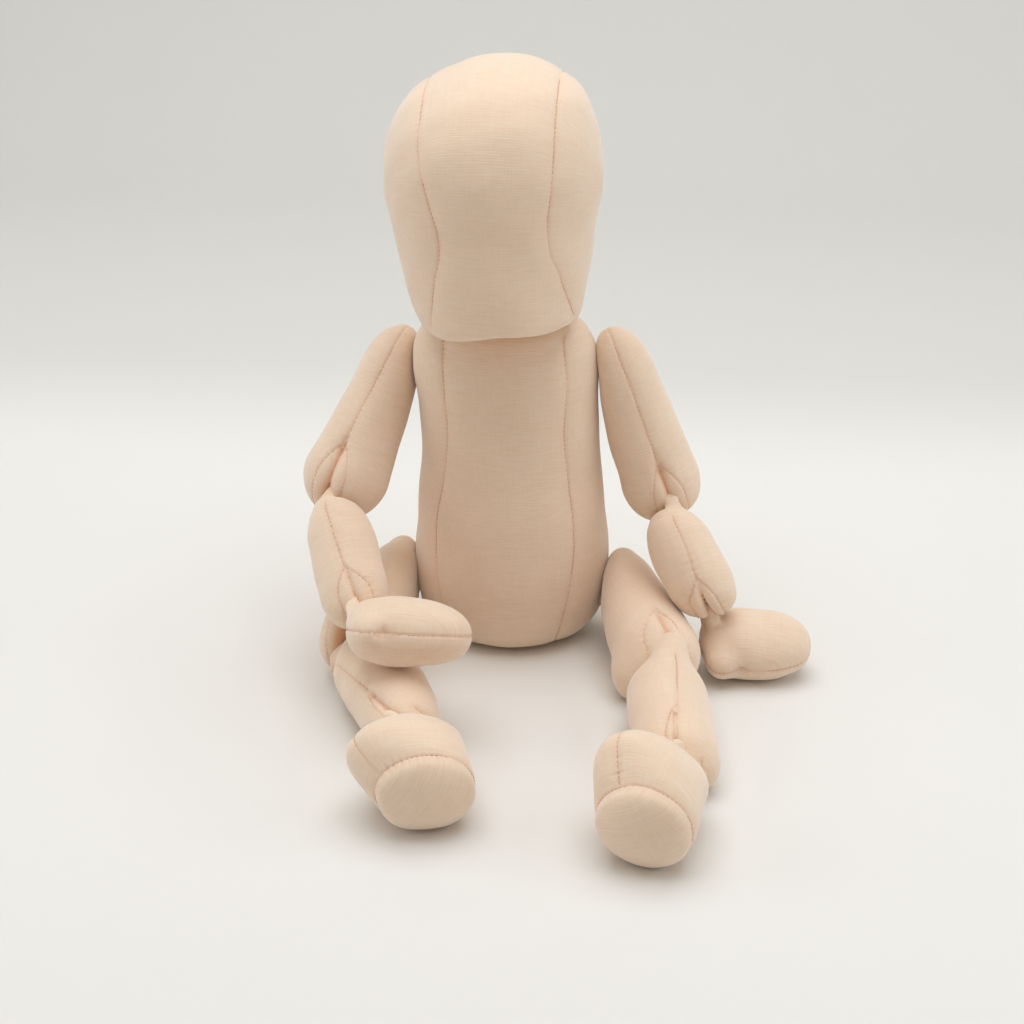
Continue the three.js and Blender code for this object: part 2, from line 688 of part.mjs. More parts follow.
const torsoAxis = curve(TORSO_AXIS.map(vector));
const torsoPole = torsoAxis.getLength();
const aboveTorso = box(-200, 200, -200, 200, TORSO_HEIGHT, 400);
const torso = layers({
  axis: torsoAxis,
  across: SIDEWAYS,
  sides: BODY_SIDES,
  stations: bodyStations(TORSO_PROFILE, torsoPole, 7),
  inner: innerStations(TORSO_PROFILE, torsoPole),
});
let torsoCover = torso.outside
  .subtract(aboveTorso)
  .subtract(torso.cavity.subtract(aboveTorso.translate([0, 0, -CLOTH])));
let torsoFilling = torso.filling.subtract(aboveTorso.translate([0, 0, -CLOTH - GAP]));
for (const [joint, disc] of torsoCuts) {
  torsoCover = torsoCover.subtract(moved(joint.hole, disc));
  torsoFilling = torsoFilling.subtract(moved(joint.torsoPocket, disc));
}
addCover(torsoBody, 'torso', torsoCover);
addFilling(torsoBody, 'torso', torsoFilling);

export default doll;
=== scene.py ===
"""A newborn posing doll, seated with its legs out: stuffed linen segments, joined so that they bend.

Each segment's form is worked out in millimetres, in the part's own frame, and becomes a mesh in metres.
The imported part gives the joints, and the doll faces -Y with +X on its left.
"""

import json
import math

import bmesh
import bpy
import numpy as np
import openvdb
from mathutils import Matrix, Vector
from mathutils.kdtree import KDTree


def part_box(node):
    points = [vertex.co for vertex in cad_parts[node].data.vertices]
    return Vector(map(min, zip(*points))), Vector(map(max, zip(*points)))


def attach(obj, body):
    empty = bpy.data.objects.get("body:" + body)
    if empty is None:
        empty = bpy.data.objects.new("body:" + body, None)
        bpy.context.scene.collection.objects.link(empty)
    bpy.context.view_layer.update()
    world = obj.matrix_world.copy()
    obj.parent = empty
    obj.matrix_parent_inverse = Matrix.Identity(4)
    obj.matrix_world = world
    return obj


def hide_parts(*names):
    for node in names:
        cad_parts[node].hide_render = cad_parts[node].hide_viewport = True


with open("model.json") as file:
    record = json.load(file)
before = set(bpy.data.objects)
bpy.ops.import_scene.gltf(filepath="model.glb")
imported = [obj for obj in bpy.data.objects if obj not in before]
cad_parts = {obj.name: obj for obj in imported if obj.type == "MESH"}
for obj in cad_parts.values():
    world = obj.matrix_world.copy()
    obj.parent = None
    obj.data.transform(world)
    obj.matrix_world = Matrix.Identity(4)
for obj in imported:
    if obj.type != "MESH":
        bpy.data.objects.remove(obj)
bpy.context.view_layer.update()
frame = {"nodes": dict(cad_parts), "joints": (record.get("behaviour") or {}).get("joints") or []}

# Linen. The whole doll is sewn from one flesh-toned plain-weave linen, with a slightly pinker thread.
# Weft lines show most, as fine streaks round each segment. Shade is painted into the colour: the cloth is
# darker and warmer along the seams and in folds.
LINEN = (0.89, 0.715, 0.563, 1)
LINEN_DEEP = (0.83, 0.62, 0.455, 1)
# Painted shade: the darker, warmer tone painted along the seam valleys. The thread's twist also mixes it
# in as the thread's own tone.
SEAM_SHADE_AND_THREAD_TONE = (0.83, 0.555, 0.40, 1)
# Painted shade: the darker orange that stands in for the shade in folds, splits and dents.
FOLD_SHADE = (0.84, 0.49, 0.31, 1)
THREAD = (0.73, 0.48, 0.35, 1)
WEFT_PITCH = 1.3
WEFT_WANDER = 2.5
WEFT_STREAKS = (0.11, 0.11, 1.5)
WARP_STREAKS = (1.3, 1.3, 0.07)
WANDER_STREAKS = (0.06, 0.06, 0.06)
WEFT_SHARE = 1.05
WARP_SHARE = 0.6
WAVE_SHADE = 0.14
WAVE_HEIGHT = 0.3
SHADE_RANGE = (0.4, 1.4)
SEAM_SHADE_REACH = 4.0
SEAM_SHADE_STRENGTH = 0.24
SEAM_EDGES = (0.05, 0.45)
SEAM_TINT = 0.32
FOLD_SHADE_STRENGTH = 0.8
THREAD_TWIST = (900, 900, 900)
MIX_FIRST, MIX_SECOND, MIX_RESULT = 6, 7, 2  # colour sockets of a mix node


def add_node(tree, kind, **settings):
    node = tree.nodes.new(kind)
    for name, value in settings.items():
        setattr(node, name, value)
    return node


def math_node(tree, operation, first, second=None, third=None):
    """A math node, fed by sockets or plain numbers. It gives back its output."""
    node = add_node(tree, "ShaderNodeMath", operation=operation)
    for socket, source in zip(node.inputs, (first, second, third)):
        if isinstance(source, bpy.types.NodeSocket):
            tree.links.new(source, socket)
        elif source is not None:
            socket.default_value = source
    return node.outputs[0]


def streaks(tree, vector, scale, detail):
    """Noise drawn out into streaks. `scale` is how many there are in one unit of the vector, by axis."""
    stretch = add_node(tree, "ShaderNodeVectorMath", operation="MULTIPLY")
    tree.links.new(vector, stretch.inputs[0])
    stretch.inputs[1].default_value = scale
    noise = add_node(tree, "ShaderNodeTexNoise")
    noise.inputs["Scale"].default_value = 1
    noise.inputs["Detail"].default_value = detail
    tree.links.new(stretch.outputs[0], noise.inputs["Vector"])
    return noise.outputs[0]


def make_weave():
    """The weave as a group: cloth place in mm in, shade and height of the yarns out."""
    tree = bpy.data.node_groups.new("Linen weave", "ShaderNodeTree")
    tree.interface.new_socket("Place", in_out="INPUT", socket_type="NodeSocketVector")
    tree.interface.new_socket("Shade", in_out="OUTPUT", socket_type="NodeSocketFloat")
    tree.interface.new_socket("Height", in_out="OUTPUT", socket_type="NodeSocketFloat")
    entry = add_node(tree, "NodeGroupInput")
    leave = add_node(tree, "NodeGroupOutput")
    place = entry.outputs["Place"]
    weft = streaks(tree, place, WEFT_STREAKS, 2)
    warp = streaks(tree, place, WARP_STREAKS, 2)
    wander = streaks(tree, place, WANDER_STREAKS, 1)
    split = add_node(tree, "ShaderNodeSeparateXYZ")
    tree.links.new(place, split.inputs[0])
    row = math_node(tree, "MULTIPLY_ADD", wander, WEFT_WANDER, split.outputs[2])
    turn = math_node(tree, "MULTIPLY", row, 2 * math.pi / WEFT_PITCH)
    wave = math_node(tree, "MULTIPLY_ADD", math_node(tree, "SINE", turn), 0.5, 0.5)
    across = math_node(tree, "MULTIPLY", weft, WEFT_SHARE)
    yarns = math_node(tree, "MULTIPLY_ADD", warp, WARP_SHARE, across)
    shade = math_node(tree, "MULTIPLY_ADD", wave, WAVE_SHADE, yarns)
    height = math_node(tree, "MULTIPLY_ADD", wave, WAVE_HEIGHT, yarns)
    tree.links.new(shade, leave.inputs["Shade"])
    tree.links.new(height, leave.inputs["Height"])
    return tree


def mix_colours(tree, factor, first, second):
    """A colour mix of sockets or plain colours. It gives back the mixed colour."""
    node = add_node(tree, "ShaderNodeMix", data_type="RGBA")
    tree.links.new(factor, node.inputs["Factor"])
    for socket, source in ((node.inputs[MIX_FIRST], first), (node.inputs[MIX_SECOND], second)):
        if isinstance(source, bpy.types.NodeSocket):
            tree.links.new(source, socket)
        else:
            socket.default_value = source
    return node.outputs[MIX_RESULT]


def map_range(tree, value, low, high, to_low, to_high):
    """A value eased from one range into another. It gives back the new value."""
    node = add_node(tree, "ShaderNodeMapRange", interpolation_type="SMOOTHSTEP")
    tree.links.new(value, node.inputs["Value"])
    node.inputs["From Min"].default_value = low
    node.inputs["From Max"].default_value = high
    node.inputs["To Min"].default_value = to_low
    node.inputs["To Max"].default_value = to_high
    return node.outputs[0]


def make_linen():
    material = bpy.data.materials.new("linen")
    material.use_nodes = True
    tree = material.node_tree
    shader = tree.nodes["Principled BSDF"]
    shader.inputs["Roughness"].default_value = 0.88
    shader.inputs["Specular IOR Level"].default_value = 0.25
    shader.inputs["Sheen Weight"].default_value = 0.55
    shader.inputs["Sheen Roughness"].default_value = 0.5
    place = add_node(tree, "ShaderNodeAttribute", attribute_name="cloth_place")
    seam = add_node(tree, "ShaderNodeAttribute", attribute_name="seam_distance")
    weave = add_node(tree, "ShaderNodeGroup", node_tree=make_weave())
    tree.links.new(place.outputs["Vector"], weave.inputs["Place"])
    tone = map_range(tree, weave.outputs["Shade"], *SHADE_RANGE, 0, 1)
    cloth = mix_colours(tree, tone, LINEN_DEEP, LINEN)
    # Painted shade: the cloth darkens and warms within a few mm of each seam, where the seam pulls it
    # into a valley.
    seam_shade = map_range(tree, seam.outputs["Fac"], 0, SEAM_SHADE_REACH, SEAM_SHADE_STRENGTH, 0)
    seam_shaded = mix_colours(tree, seam_shade, cloth, SEAM_SHADE_AND_THREAD_TONE)
    line = map_range(tree, seam.outputs["Fac"], *SEAM_EDGES, SEAM_TINT, 0)
    lined = mix_colours(tree, line, seam_shaded, THREAD)
    # Painted shade: folds, splits and dents are darkened towards orange by the painted fold shade
    # attribute.
    fold = add_node(tree, "ShaderNodeAttribute", attribute_name="painted_fold_shade")
    fold_shaded = map_range(tree, fold.outputs["Fac"], 0, 1, 0, FOLD_SHADE_STRENGTH)
    tree.links.new(mix_colours(tree, fold_shaded, lined, FOLD_SHADE), shader.inputs["Base Color"])
    bump = add_node(tree, "ShaderNodeBump")
    bump.inputs["Strength"].default_value = 0.22
    bump.inputs["Distance"].default_value = 0.0004
    tree.links.new(weave.outputs["Height"], bump.inputs["Height"])
    tree.links.new(bump.outputs["Normal"], shader.inputs["Normal"])
    return material


def make_thread():
    material = bpy.data.materials.new("sewing_thread")
    material.use_nodes = True
    tree = material.node_tree
    shader = tree.nodes["Principled BSDF"]
    shader.inputs["Roughness"].default_value = 0.7
    place = add_node(tree, "ShaderNodeTexCoord")
    twist = streaks(tree, place.outputs["Object"], THREAD_TWIST, 1)
    tone = mix_colours(tree, twist, THREAD, SEAM_SHADE_AND_THREAD_TONE)
    tree.links.new(tone, shader.inputs["Base Color"])
    return material


linen = make_linen()
thread = make_thread()

# Torso. A bag of linen panels with two long seams in front and two behind, stuffed hard and
# flattened underneath by its own weight. The disc joints of head and limbs are locked inside it.
MM = 0.001
BODY_CELL = 1.35
SEAM_STEP = 0.5
SEAM_REFINED = 2.4
GROOVE_DEPTH = 0.42
GROOVE_HALF = 0.7
VALLEY_DEPTH = 0.45
VALLEY_HALF = 4.0
PUCKER_HEIGHT = 0.15
PUCKER_HALF = 3.6
PUCKER_LENGTH = 26.0
PUCKER_STITCHES = 1.6
PUCKER_DRIFT = 1.5
GATHER = 0.3
GATHER_SWING = 0.8
GATHER_LEAST = 0.1
STITCH = 2.3
STITCH_SHOWN = 0.62
STITCH_RINGS = ((-0.5, 0.0), (-0.38, 0.8), (0.0, 1.0), (0.38, 0.8), (0.5, 0.0))
STITCH_SIDES = 5
THREAD_RADIUS = 0.22
THREAD_WIDE = 1.25
THREAD_PROUD = 0.9
LUMP_HEIGHT = 0.4
LUMP_LENGTH = 24.0
LUMP_SPAN = (0.75, 1.5)
LUMP_WAVES = 7
FOLD_START = 1.2
FOLD_FULL = 3.5
DENT_SHADE = 0.4
FLOOR_EASE = 3.0
PROBE = 0.1
SETTLE_STEP = 2.0
LEAST_SLOPE2 = 0.04
BAND_CELLS = 3
RAY_REACH = 90.0
RAY_STEP = 0.6
RAY_HALVINGS = 14
BOX_MARGIN = 12
CLOTH_SHIFT = 17.3
SEAM_FAR = 30
PANEL_POINTS = 120
CROWN_POINTS = 90

joint_at = {joint["name"]: np.array(joint["pos_m"]) / MM for joint in frame["joints"]}
joint_axis = {joint["name"]: np.array(joint["axis"]) for joint in frame["joints"]}


def unit(vector):
    vector = np.asarray(vector, float)
    return vector / np.linalg.norm(vector)


def local_frame(origin, across, along):
    """An origin and three directions as columns: X across, Z along but square to X, Y square to both."""
    x = unit(across)
    z = unit(along - x * np.dot(along, x))
    return np.asarray(origin, float), np.stack([x, np.cross(z, x), z], 1)


def to_local(points, place):
    return (points - place[0]) @ place[1]


def to_world(points, place):
    return np.asarray(points, float) @ place[1].T + place[0]


def follow(places, values):
    """A smooth curve through values at places, as a function that gives its value and its slope."""
    places = np.asarray(places, float)
    values = np.asarray(values, float)
    slopes = np.gradient(values, places)

    def curve(at):
        inside = np.clip(at, places[0], places[-1])
        piece = np.clip(np.searchsorted(places, inside, side="right") - 1, 0, len(places) - 2)
        step = places[piece + 1] - places[piece]
        part = (inside - places[piece]) / step
        rise = values[piece + 1] - values[piece]
        lean, lean_next = slopes[piece] * step, slopes[piece + 1] * step
        bend, swing = lean + lean_next - 2 * rise, 3 * rise - 2 * lean - lean_next
        value = values[piece] + ((bend * part + swing) * part + lean) * part
        slope = ((3 * bend * part + 2 * swing) * part + lean) / step
        return value + slope * (at - inside), slope

    return curve


def stuffed_form(stations, shift=None):
    """Distance, in mm, to a stuffed form round local Z, as a function of local points. A station is its
    place, half width, depth towards -Y and depth towards +Y. The end stations are the form's poles.
    A row of `shift` is a place and the X and Y of the form's middle there."""
    rows = np.asarray(stations, float)
    ratios = np.ones((len(rows), 2))
    ratios[1:-1] = (rows[1:-1, 2:4] / rows[1:-1, 1:2]) ** 2
    ratios[0], ratios[-1] = ratios[1], ratios[-2]
    deep = [follow(rows[:, 0], rows[:, side] ** 2) for side in (2, 3)]
    wide = [follow(rows[:, 0], np.log(ratios[:, side])) for side in (0, 1)]
    least = rows[:, 2].max()
    middle = None
    if shift is not None:
        shift = np.asarray(shift, float)
        middle = [follow(shift[:, 0], shift[:, axis]) for axis in (1, 2)]

    def form(local):
        x, y, z = local.T
        if middle is not None:
            x, y = x - middle[0](z)[0], y - middle[1](z)[0]
        front = y < 0
        deep2, deep2_slope = (np.where(front, a, b) for a, b in zip(deep[0](z), deep[1](z)))
        power, power_slope = (np.where(front, a, b) for a, b in zip(wide[0](z), wide[1](z)))
        ratio = np.exp(power)
        value = y * y + ratio * x * x - deep2
        along = ratio * power_slope * x * x - deep2_slope
        slope = np.sqrt(4 * y * y + 4 * ratio * ratio * x * x + along * along)
        return value / np.maximum(slope, least)

    return form


def smooth_max(first, second, ease):
    """The larger of two distances, rounded over about `ease` mm where they meet."""
    near = np.maximum(ease - np.abs(first - second), 0) / ease
    return np.maximum(first, second) + near * near * ease / 4


def smooth_min(first, second, ease):
    return -smooth_max(-first, -second, ease)


def slope_of(field, points):
    steps = np.eye(3) * PROBE
    return np.stack([field(points + step) - field(points - step) for step in steps], 1) / (2 * PROBE)


def settle(field, points, rounds=4):
    """Moves points onto the surface of a form."""
    for _ in range(rounds):
        slope = slope_of(field, points)
        size2 = np.maximum((slope * slope).sum(1), LEAST_SLOPE2)
        points = points - slope * np.clip(field(points) / size2, -SETTLE_STEP, SETTLE_STEP)[:, None]
    return points


def surface_mesh(field, low, high, cell):
    """Points and quads of a form's surface inside a box."""
    low = np.asarray(low, float)
    counts = np.ceil((np.asarray(high, float) - low) / cell).astype(int) + 1
    ticks = [low[axis] + cell * np.arange(counts[axis]) for axis in range(3)]
    places = np.stack(np.meshgrid(*ticks, indexing="ij"), -1).reshape(-1, 3)
    band = BAND_CELLS * cell
    values = np.clip(field(places), -band, band).reshape(counts)
    grid = openvdb.FloatGrid(background=band)
    grid.copyFromArray(np.ascontiguousarray(values, dtype=np.float32))
    points, quads = grid.convertToQuads(0.0)
    return low + points.astype(float) * cell, quads.astype(int)


def to_surface(field, starts, directions):
    """Where rays from inside a form first come out of it."""
    steps = np.arange(0, RAY_REACH, RAY_STEP)
    places = starts[:, None] + directions[:, None] * steps[None, :, None]
    outside = field(places.reshape(-1, 3)).reshape(len(starts), -1) >= 0
    far = steps[np.argmax(outside, axis=1)]
    near = np.maximum(far - RAY_STEP, 0)
    for _ in range(RAY_HALVINGS):
        middle = (near + far) / 2
        inside = field(starts + directions * middle[:, None]) < 0
        near, far = np.where(inside, middle, near), np.where(inside, far, middle)
    return starts + directions * near[:, None]


def even_line(points, spacing):
    """Points at even steps along a line, with the distance of each from its start."""
    lengths = np.concatenate([[0], np.cumsum(np.linalg.norm(np.diff(points, axis=0), axis=1))])
    along = np.linspace(0, lengths[-1], max(2, round(lengths[-1] / spacing) + 1))
    return np.stack([np.interp(along, lengths, points[:, axis]) for axis in range(3)], 1), along


def seam_reader(seams):
    """A function that gives each point's distance to the nearest seam and its place along that seam."""
    lines = [even_line(seam, SEAM_STEP) for seam in seams]
    samples = np.concatenate([line for line, _ in lines])
    places = np.concatenate([along for _, along in lines])
    tree = KDTree(len(samples))
    for index, sample in enumerate(samples):
        tree.insert(sample, index)
    tree.balance()

    def read(points):
        found = [tree.find(point) for point in points]
        index = np.array([hit[1] for hit in found])
        return np.array([hit[2] for hit in found]), places[index]

    return read


def lumps(points, length, seed):
    """Uneven stuffing: a soft sum of waves between about -1 and 1."""
    waves = np.random.default_rng(seed)
    total = np.zeros(len(points))
    for _ in range(LUMP_WAVES):
        direction = unit(waves.normal(size=3)) * 2 * math.pi / (length * waves.uniform(*LUMP_SPAN))
        total += np.sin(points @ direction + waves.uniform(0, 2 * math.pi))
    return total / (LUMP_WAVES / 2)


def cloth_relief(points, distance, along, seed):
    """How far the cloth stands proud, in mm: grooves and pulled-in valleys along seams, puckers
    between stitches, and lumps of stuffing."""
    groove = -GROOVE_DEPTH * np.exp(-(distance / GROOVE_HALF) ** 2)
    valley = -VALLEY_DEPTH * np.exp(-(distance / VALLEY_HALF) ** 2)
    uneven = lumps(points, PUCKER_LENGTH, seed + 1)
    pull = np.sin(2 * math.pi * along / (PUCKER_STITCHES * STITCH) + PUCKER_DRIFT * uneven)
    gather = np.clip(GATHER + GATHER_SWING * uneven, GATHER_LEAST, 1)
    pucker = PUCKER_HEIGHT * pull * np.exp(-(distance / PUCKER_HALF) ** 2) * gather
    soft = LUMP_HEIGHT * lumps(points, LUMP_LENGTH, seed)
    return groove + valley + pucker + soft


def add_object(name, points, faces, material):
    mesh = bpy.data.meshes.new(name)
    mesh.from_pydata((points * MM).tolist(), [], faces)
    mesh.polygons.foreach_set("use_smooth", [True] * len(mesh.polygons))
    mesh.materials.append(material)
    made = bpy.data.objects.new(name, mesh)
    bpy.context.scene.collection.objects.link(made)
    return made


def refined(points, quads, near):
    """The mesh with the edges close to a seam halved, so that the groove has points of its own."""
    work = bmesh.new()
    corners = [work.verts.new(point) for point in points]
    for quad in quads:
        work.faces.new([corners[index] for index in quad])
    work.verts.ensure_lookup_table()
    work.verts.index_update()
    edges = [edge for edge in work.edges if near[edge.verts[0].index] and near[edge.verts[1].index]]
    bmesh.ops.subdivide_edges(work, edges=edges, cuts=1, use_grid_fill=True)
    work.verts.index_update()
    finer = np.array([vertex.co for vertex in work.verts])
    faces = [[vertex.index for vertex in face.verts] for face in work.faces]
    work.free()
    return finer, faces


def add_stitching(name, field, seams, body):
    """Short stitches of thread that lie in the groove of each seam."""
    sides, rings = STITCH_SIDES, STITCH_RINGS
    shown = STITCH * STITCH_SHOWN
    points, faces = [], []
    for seam in seams:
        line, along = even_line(seam, STITCH)
        tangents = np.gradient(line, axis=0)
        normals = slope_of(field, line)
        for place, tangent, normal in zip(line[1:-1], tangents[1:-1], normals[1:-1]):
            run = unit(tangent)
            up = unit(normal - run * np.dot(normal, run))
            side = np.cross(up, run)
            heart = place - up * (GROOVE_DEPTH + VALLEY_DEPTH - THREAD_RADIUS * THREAD_PROUD)
            base = len(points)
            points.append(heart + run * shown * rings[0][0])
            for step, size in rings[1:-1]:
                for corner in range(sides):
                    angle = 2 * math.pi * corner / sides
                    ring = side * math.cos(angle) * THREAD_WIDE + up * math.sin(angle)
                    points.append(heart + run * shown * step + ring * size * THREAD_RADIUS)
            points.append(heart + run * shown * rings[-1][0])
            last = len(points) - 1
            for corner in range(sides):
                after = (corner + 1) % sides
                faces.append((base, base + 1 + after, base + 1 + corner))
                for ring in range(len(rings) - 3):
                    low, high = base + 1 + ring * sides, base + 1 + (ring + 1) * sides
                    faces.append((low + corner, low + after, high + after, high + corner))
                high = base + 1 + (len(rings) - 3) * sides
                faces.append((high + corner, high + after, last))
    stitching = add_object(name + "_stitching", np.array(points), faces, thread)
    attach(stitching, body)


def add_stuffed(name, field, full, seams, grain, cell, seed, dents=()):
    """Sews one stuffed segment: its linen mesh with seams, and the stitches in them. The mesh takes the
    place of the segment's cover and stuffing. `full` is its form before splits and folds were pressed
    into it, `grain` gives a point's place on the cloth, and a dent is a point, its depth and width."""
    low, high = (np.array(corner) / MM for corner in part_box(name + "_cover"))
    points, quads = surface_mesh(field, low - BOX_MARGIN, high + BOX_MARGIN, cell)
    read = seam_reader(seams)
    points = settle(field, points)
    points, faces = refined(points, quads, read(points)[0] < SEAM_REFINED)
    points = settle(field, points, 2)
    distance, along = read(points)
    normals = slope_of(field, points)
    normals /= np.linalg.norm(normals, axis=1)[:, None]
    relief = cloth_relief(points, distance, along, seed)
    # Painted shade: the cloth is darkened towards orange where it is pressed into the segment and at
    # dents, but not where the floor flattens it.
    fold = np.clip((np.minimum(-full(points), points[:, 2]) - FOLD_START) / FOLD_FULL, 0, 1)
    for at, depth, width in dents:
        pulled = np.exp(-(((points - at) / width) ** 2).sum(1))
        relief -= depth * pulled
        fold = np.maximum(fold, DENT_SHADE * pulled)
    points = points + normals * relief[:, None]
    points[:, 2] = np.maximum(points[:, 2], 0)
    corners = points[np.array(faces[0][:3])]
    facing = np.dot(np.cross(corners[1] - corners[0], corners[2] - corners[0]), normals[faces[0][0]])
    if facing < 0:
        faces = [face[::-1] for face in faces]
    cover = add_object(name + "_linen", points, faces, linen)
    place = cover.data.attributes.new("cloth_place", "FLOAT_VECTOR", "POINT")
    place.data.foreach_set("vector", (grain(points) + seed * CLOTH_SHIFT).ravel())
    reach = cover.data.attributes.new("seam_distance", "FLOAT", "POINT")
    reach.data.foreach_set("value", np.minimum(distance, SEAM_FAR))
    # The painted shade of folds, splits and dents, kept on the mesh for the linen material.
    depth = cover.data.attributes.new("painted_fold_shade", "FLOAT", "POINT")
    depth.data.foreach_set("value", fold)
    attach(cover, name)
    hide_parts(name + "_cover", name + "_stuffing")
    add_stitching(name, field, seams, name)


def grain_along(place, depth=1.0):
    """Cloth laid straight along a local frame. A small `depth` lays it flat across Y."""
    return lambda points: to_local(points, place) * np.array([1, depth, 1])


UPRIGHT = local_frame((0, 0, 0), np.array([1.0, 0, 0]), np.array([0, 0, 1.0]))
TORSO_STATIONS = [
    (-9, 0, 0, 0), (1, 37, 34, 36), (10, 46, 41.5, 43), (22, 50, 46.5, 46.5), (45, 50.8, 50, 47.5),
    (70, 49, 48, 45), (95, 46.5, 42.5, 41.5), (125, 46, 38.5, 38.8), (150, 46.6, 36.3, 36.5),
    (164, 43.5, 33.5, 33.5), (172, 36, 28, 28), (177, 20, 16, 16), (178.5, 0, 0, 0),
]
TORSO_LEAN = [(0, 0, 0), (60, 0, 0), (115, -1, 0), (147, -3.3, 0), (178, -4, 0)]
TORSO_TOP = 174.6
TORSO_SEAM = [
    (1, -25, 24.5), (15, -30, 28), (30, -33.5, 31.3), (45, -35.8, 33.8), (61, -36.6, 35.2),
    (76, -36, 34.4), (98, -31.9, 31.4), (122, -30, 29), (137, -30.8, 29.3), (150, -32.1, 29.5),
    (171, -32.5, 27.5),
]
torso_round = stuffed_form(TORSO_STATIONS, TORSO_LEAN)


def torso_field(points):
    seated = smooth_max(torso_round(points), -points[:, 2], 2 * FLOOR_EASE)
    return smooth_max(seated, points[:, 2] - TORSO_TOP, FLOOR_EASE)


def curve_of(rows, column):
    rows = np.asarray(rows, float)
    read = follow(rows[:, 0], rows[:, column])
    return lambda at: read(at)[0]


def panel_seams(field, rows, lean, crown):
    """Seams of a centre panel, in front and behind. A row is a height and the X of the seam on the right
    and on the left. `lean` gives the form's middle. The seams meet over the top, if `crown` is set."""
    seams = []
    rise = np.linspace(rows[0][0], rows[-1][0], PANEL_POINTS)
    middle = curve_of(lean, 2)(rise)
    for column in (1, 2):
        starts = np.stack([curve_of(rows, column)(rise), middle, rise], 1)
        front = to_surface(field, starts, np.tile([0.0, -1.0, 0.0], (PANEL_POINTS, 1)))
        back = to_surface(field, starts, np.tile([0.0, 1.0, 0.0], (PANEL_POINTS, 1)))
        if crown:
            angle = np.linspace(0, math.pi, CROWN_POINTS)
            fan = np.stack([np.zeros(CROWN_POINTS), -np.cos(angle), np.sin(angle)], 1)
            over = to_surface(field, np.tile(starts[-1], (CROWN_POINTS, 1)), fan)
            seams.append(np.concatenate([front, over[1:-1], back[::-1]]))
        else:
            seams.extend([front, back])
    return seams


torso_seams = panel_seams(torso_field, TORSO_SEAM, TORSO_LEAN, False)
add_stuffed("torso", torso_field, torso_field, torso_seams, grain_along(UPRIGHT), BODY_CELL, seed=1)

# Head. A long centre strip of linen runs from the chin over the crown to the nape, between two side
# panels that shape forehead, bridge and chin. It is stuffed very hard and sits flat on the neck disc.
HEAD_STATIONS = [
    (168, 0, 0, 0), (176, 36, 43, 40), (184, 40.5, 48, 45), (196, 44, 51.5, 49), (219, 48.2, 54, 54.5),
    (232, 50.5, 54.8, 56.5), (245, 52.2, 56.5, 57.5), (262, 51.8, 57, 56.5), (279, 46.8, 50.8, 50),
    (292, 37, 39.5, 39.5), (301, 20.5, 22.5, 22.5), (305.0, 0, 0, 0),
]
HEAD_LEAN = [(168, -4.5, -18.5), (198, -6, -14), (243, -8, -11), (285, -6.4, -8), (305.3, -2.5, -6.5)]
HEAD_SEAM = [
    (187, -34.2, 33.6), (195, -33.8, 32), (205, -32.6, 29.3), (214, -31, 26.4), (224, -29.1, 22.8),
    (233, -29.3, 21.6), (240, -31, 21.6), (247, -33.3, 22.3), (262, -37.2, 23.6), (272, -39.4, 24),
]
HEAD_BASE = 175.7
CHIN_START = -10
CHIN_RUN = 50
CHIN_RISE = 7.3
CHIN_MIDDLE = -10
CHIN_SPAN = (-20, 8)
CHIN_TILT = 0.2
JAW_START = 18
JAW_TILT = 0.1
CHIN_EASE = 5.5
CROWN_CENTRE = (-11.0, 243.0)
CROWN_RADIUS = 58.0
head_round = stuffed_form(HEAD_STATIONS, HEAD_LEAN)


def head_field(points):
    x, y, z = points.T
    forward = np.clip((CHIN_START - y) / CHIN_RUN, 0, 1)
    chin = forward * (CHIN_RISE + CHIN_TILT * np.clip(x - CHIN_MIDDLE, *CHIN_SPAN))
    jaw = JAW_TILT * np.maximum(x - JAW_START, 0)
    return smooth_max(head_round(points), HEAD_BASE + (chin + jaw) - z, CHIN_EASE)


def head_grain(points):
    """Cloth that runs up the face, over the crown and down the nape."""
    back, up = points[:, 1] - CROWN_CENTRE[0], points[:, 2] - CROWN_CENTRE[1]
    over = CROWN_RADIUS * np.arctan2(np.maximum(up, 0), -back)
    fall = np.where(back < 0, 1, -1) * np.minimum(up, 0)
    return np.stack([points[:, 0], np.hypot(back, np.maximum(up, 0)), over + fall], 1)


head_seams = panel_seams(head_field, HEAD_SEAM, HEAD_LEAN, True)
add_stuffed("head", head_field, head_field, head_seams, head_grain, BODY_CELL, seed=2)

# Upper arms. Each is one linen sleeve with a seam down the front and back, flat where its disc joint
# presses on the torso. Its lower end is split into two stuffed lobes lined with a pointed gusset.
SIDES = ("left", "right")
LIMB_CELL = 1.0
LOBE_RING = (0.7, 0.71)
LOBE_EASE = {"elbow": 8.0, "wrist": 5.2, "knee": 7.0, "ankle": 4.6}
DISC_EASE = 7.0
DISC_HUG = 2.2
SWELL_EASE = 10.0
TORSO_CLEAR = -0.4
GUSSET_TURN = 0.9
GUSSET_PEAK = 0.9
GUSSET_CURVE = 0.9
GUSSET_LEAST = 0.4
GUSSET_POINTS = 130
SLEEVE_POINTS = 80
TOP_POINTS = 60
SKEW_REACH = 14.0
LOBE_HEART = 8.0
SLOT_ROOM = 1.9
SLOT_PRESSED = -0.1
SLOT_SHUT = {"left_ankle": 0.2, "right_ankle": 0.36}
SLOT_EASE = 2.0
SLOT_BLUNT = 0.15
SLOT_FADE = 4.0
SLOT_NARROWS = 0.42
TONGUE_WIDE = {"elbow": 7.6, "wrist": 6.9, "knee": 6.5, "ankle": 7.2}
TIP_ROOM = 0.2
ELBOW_LOBE = 20.5
SHOULDER_TOP = 22.5
TOP_SEAM = 0.35
SHOULDER_OUT = {"left": 11.4, "right": 9.6}
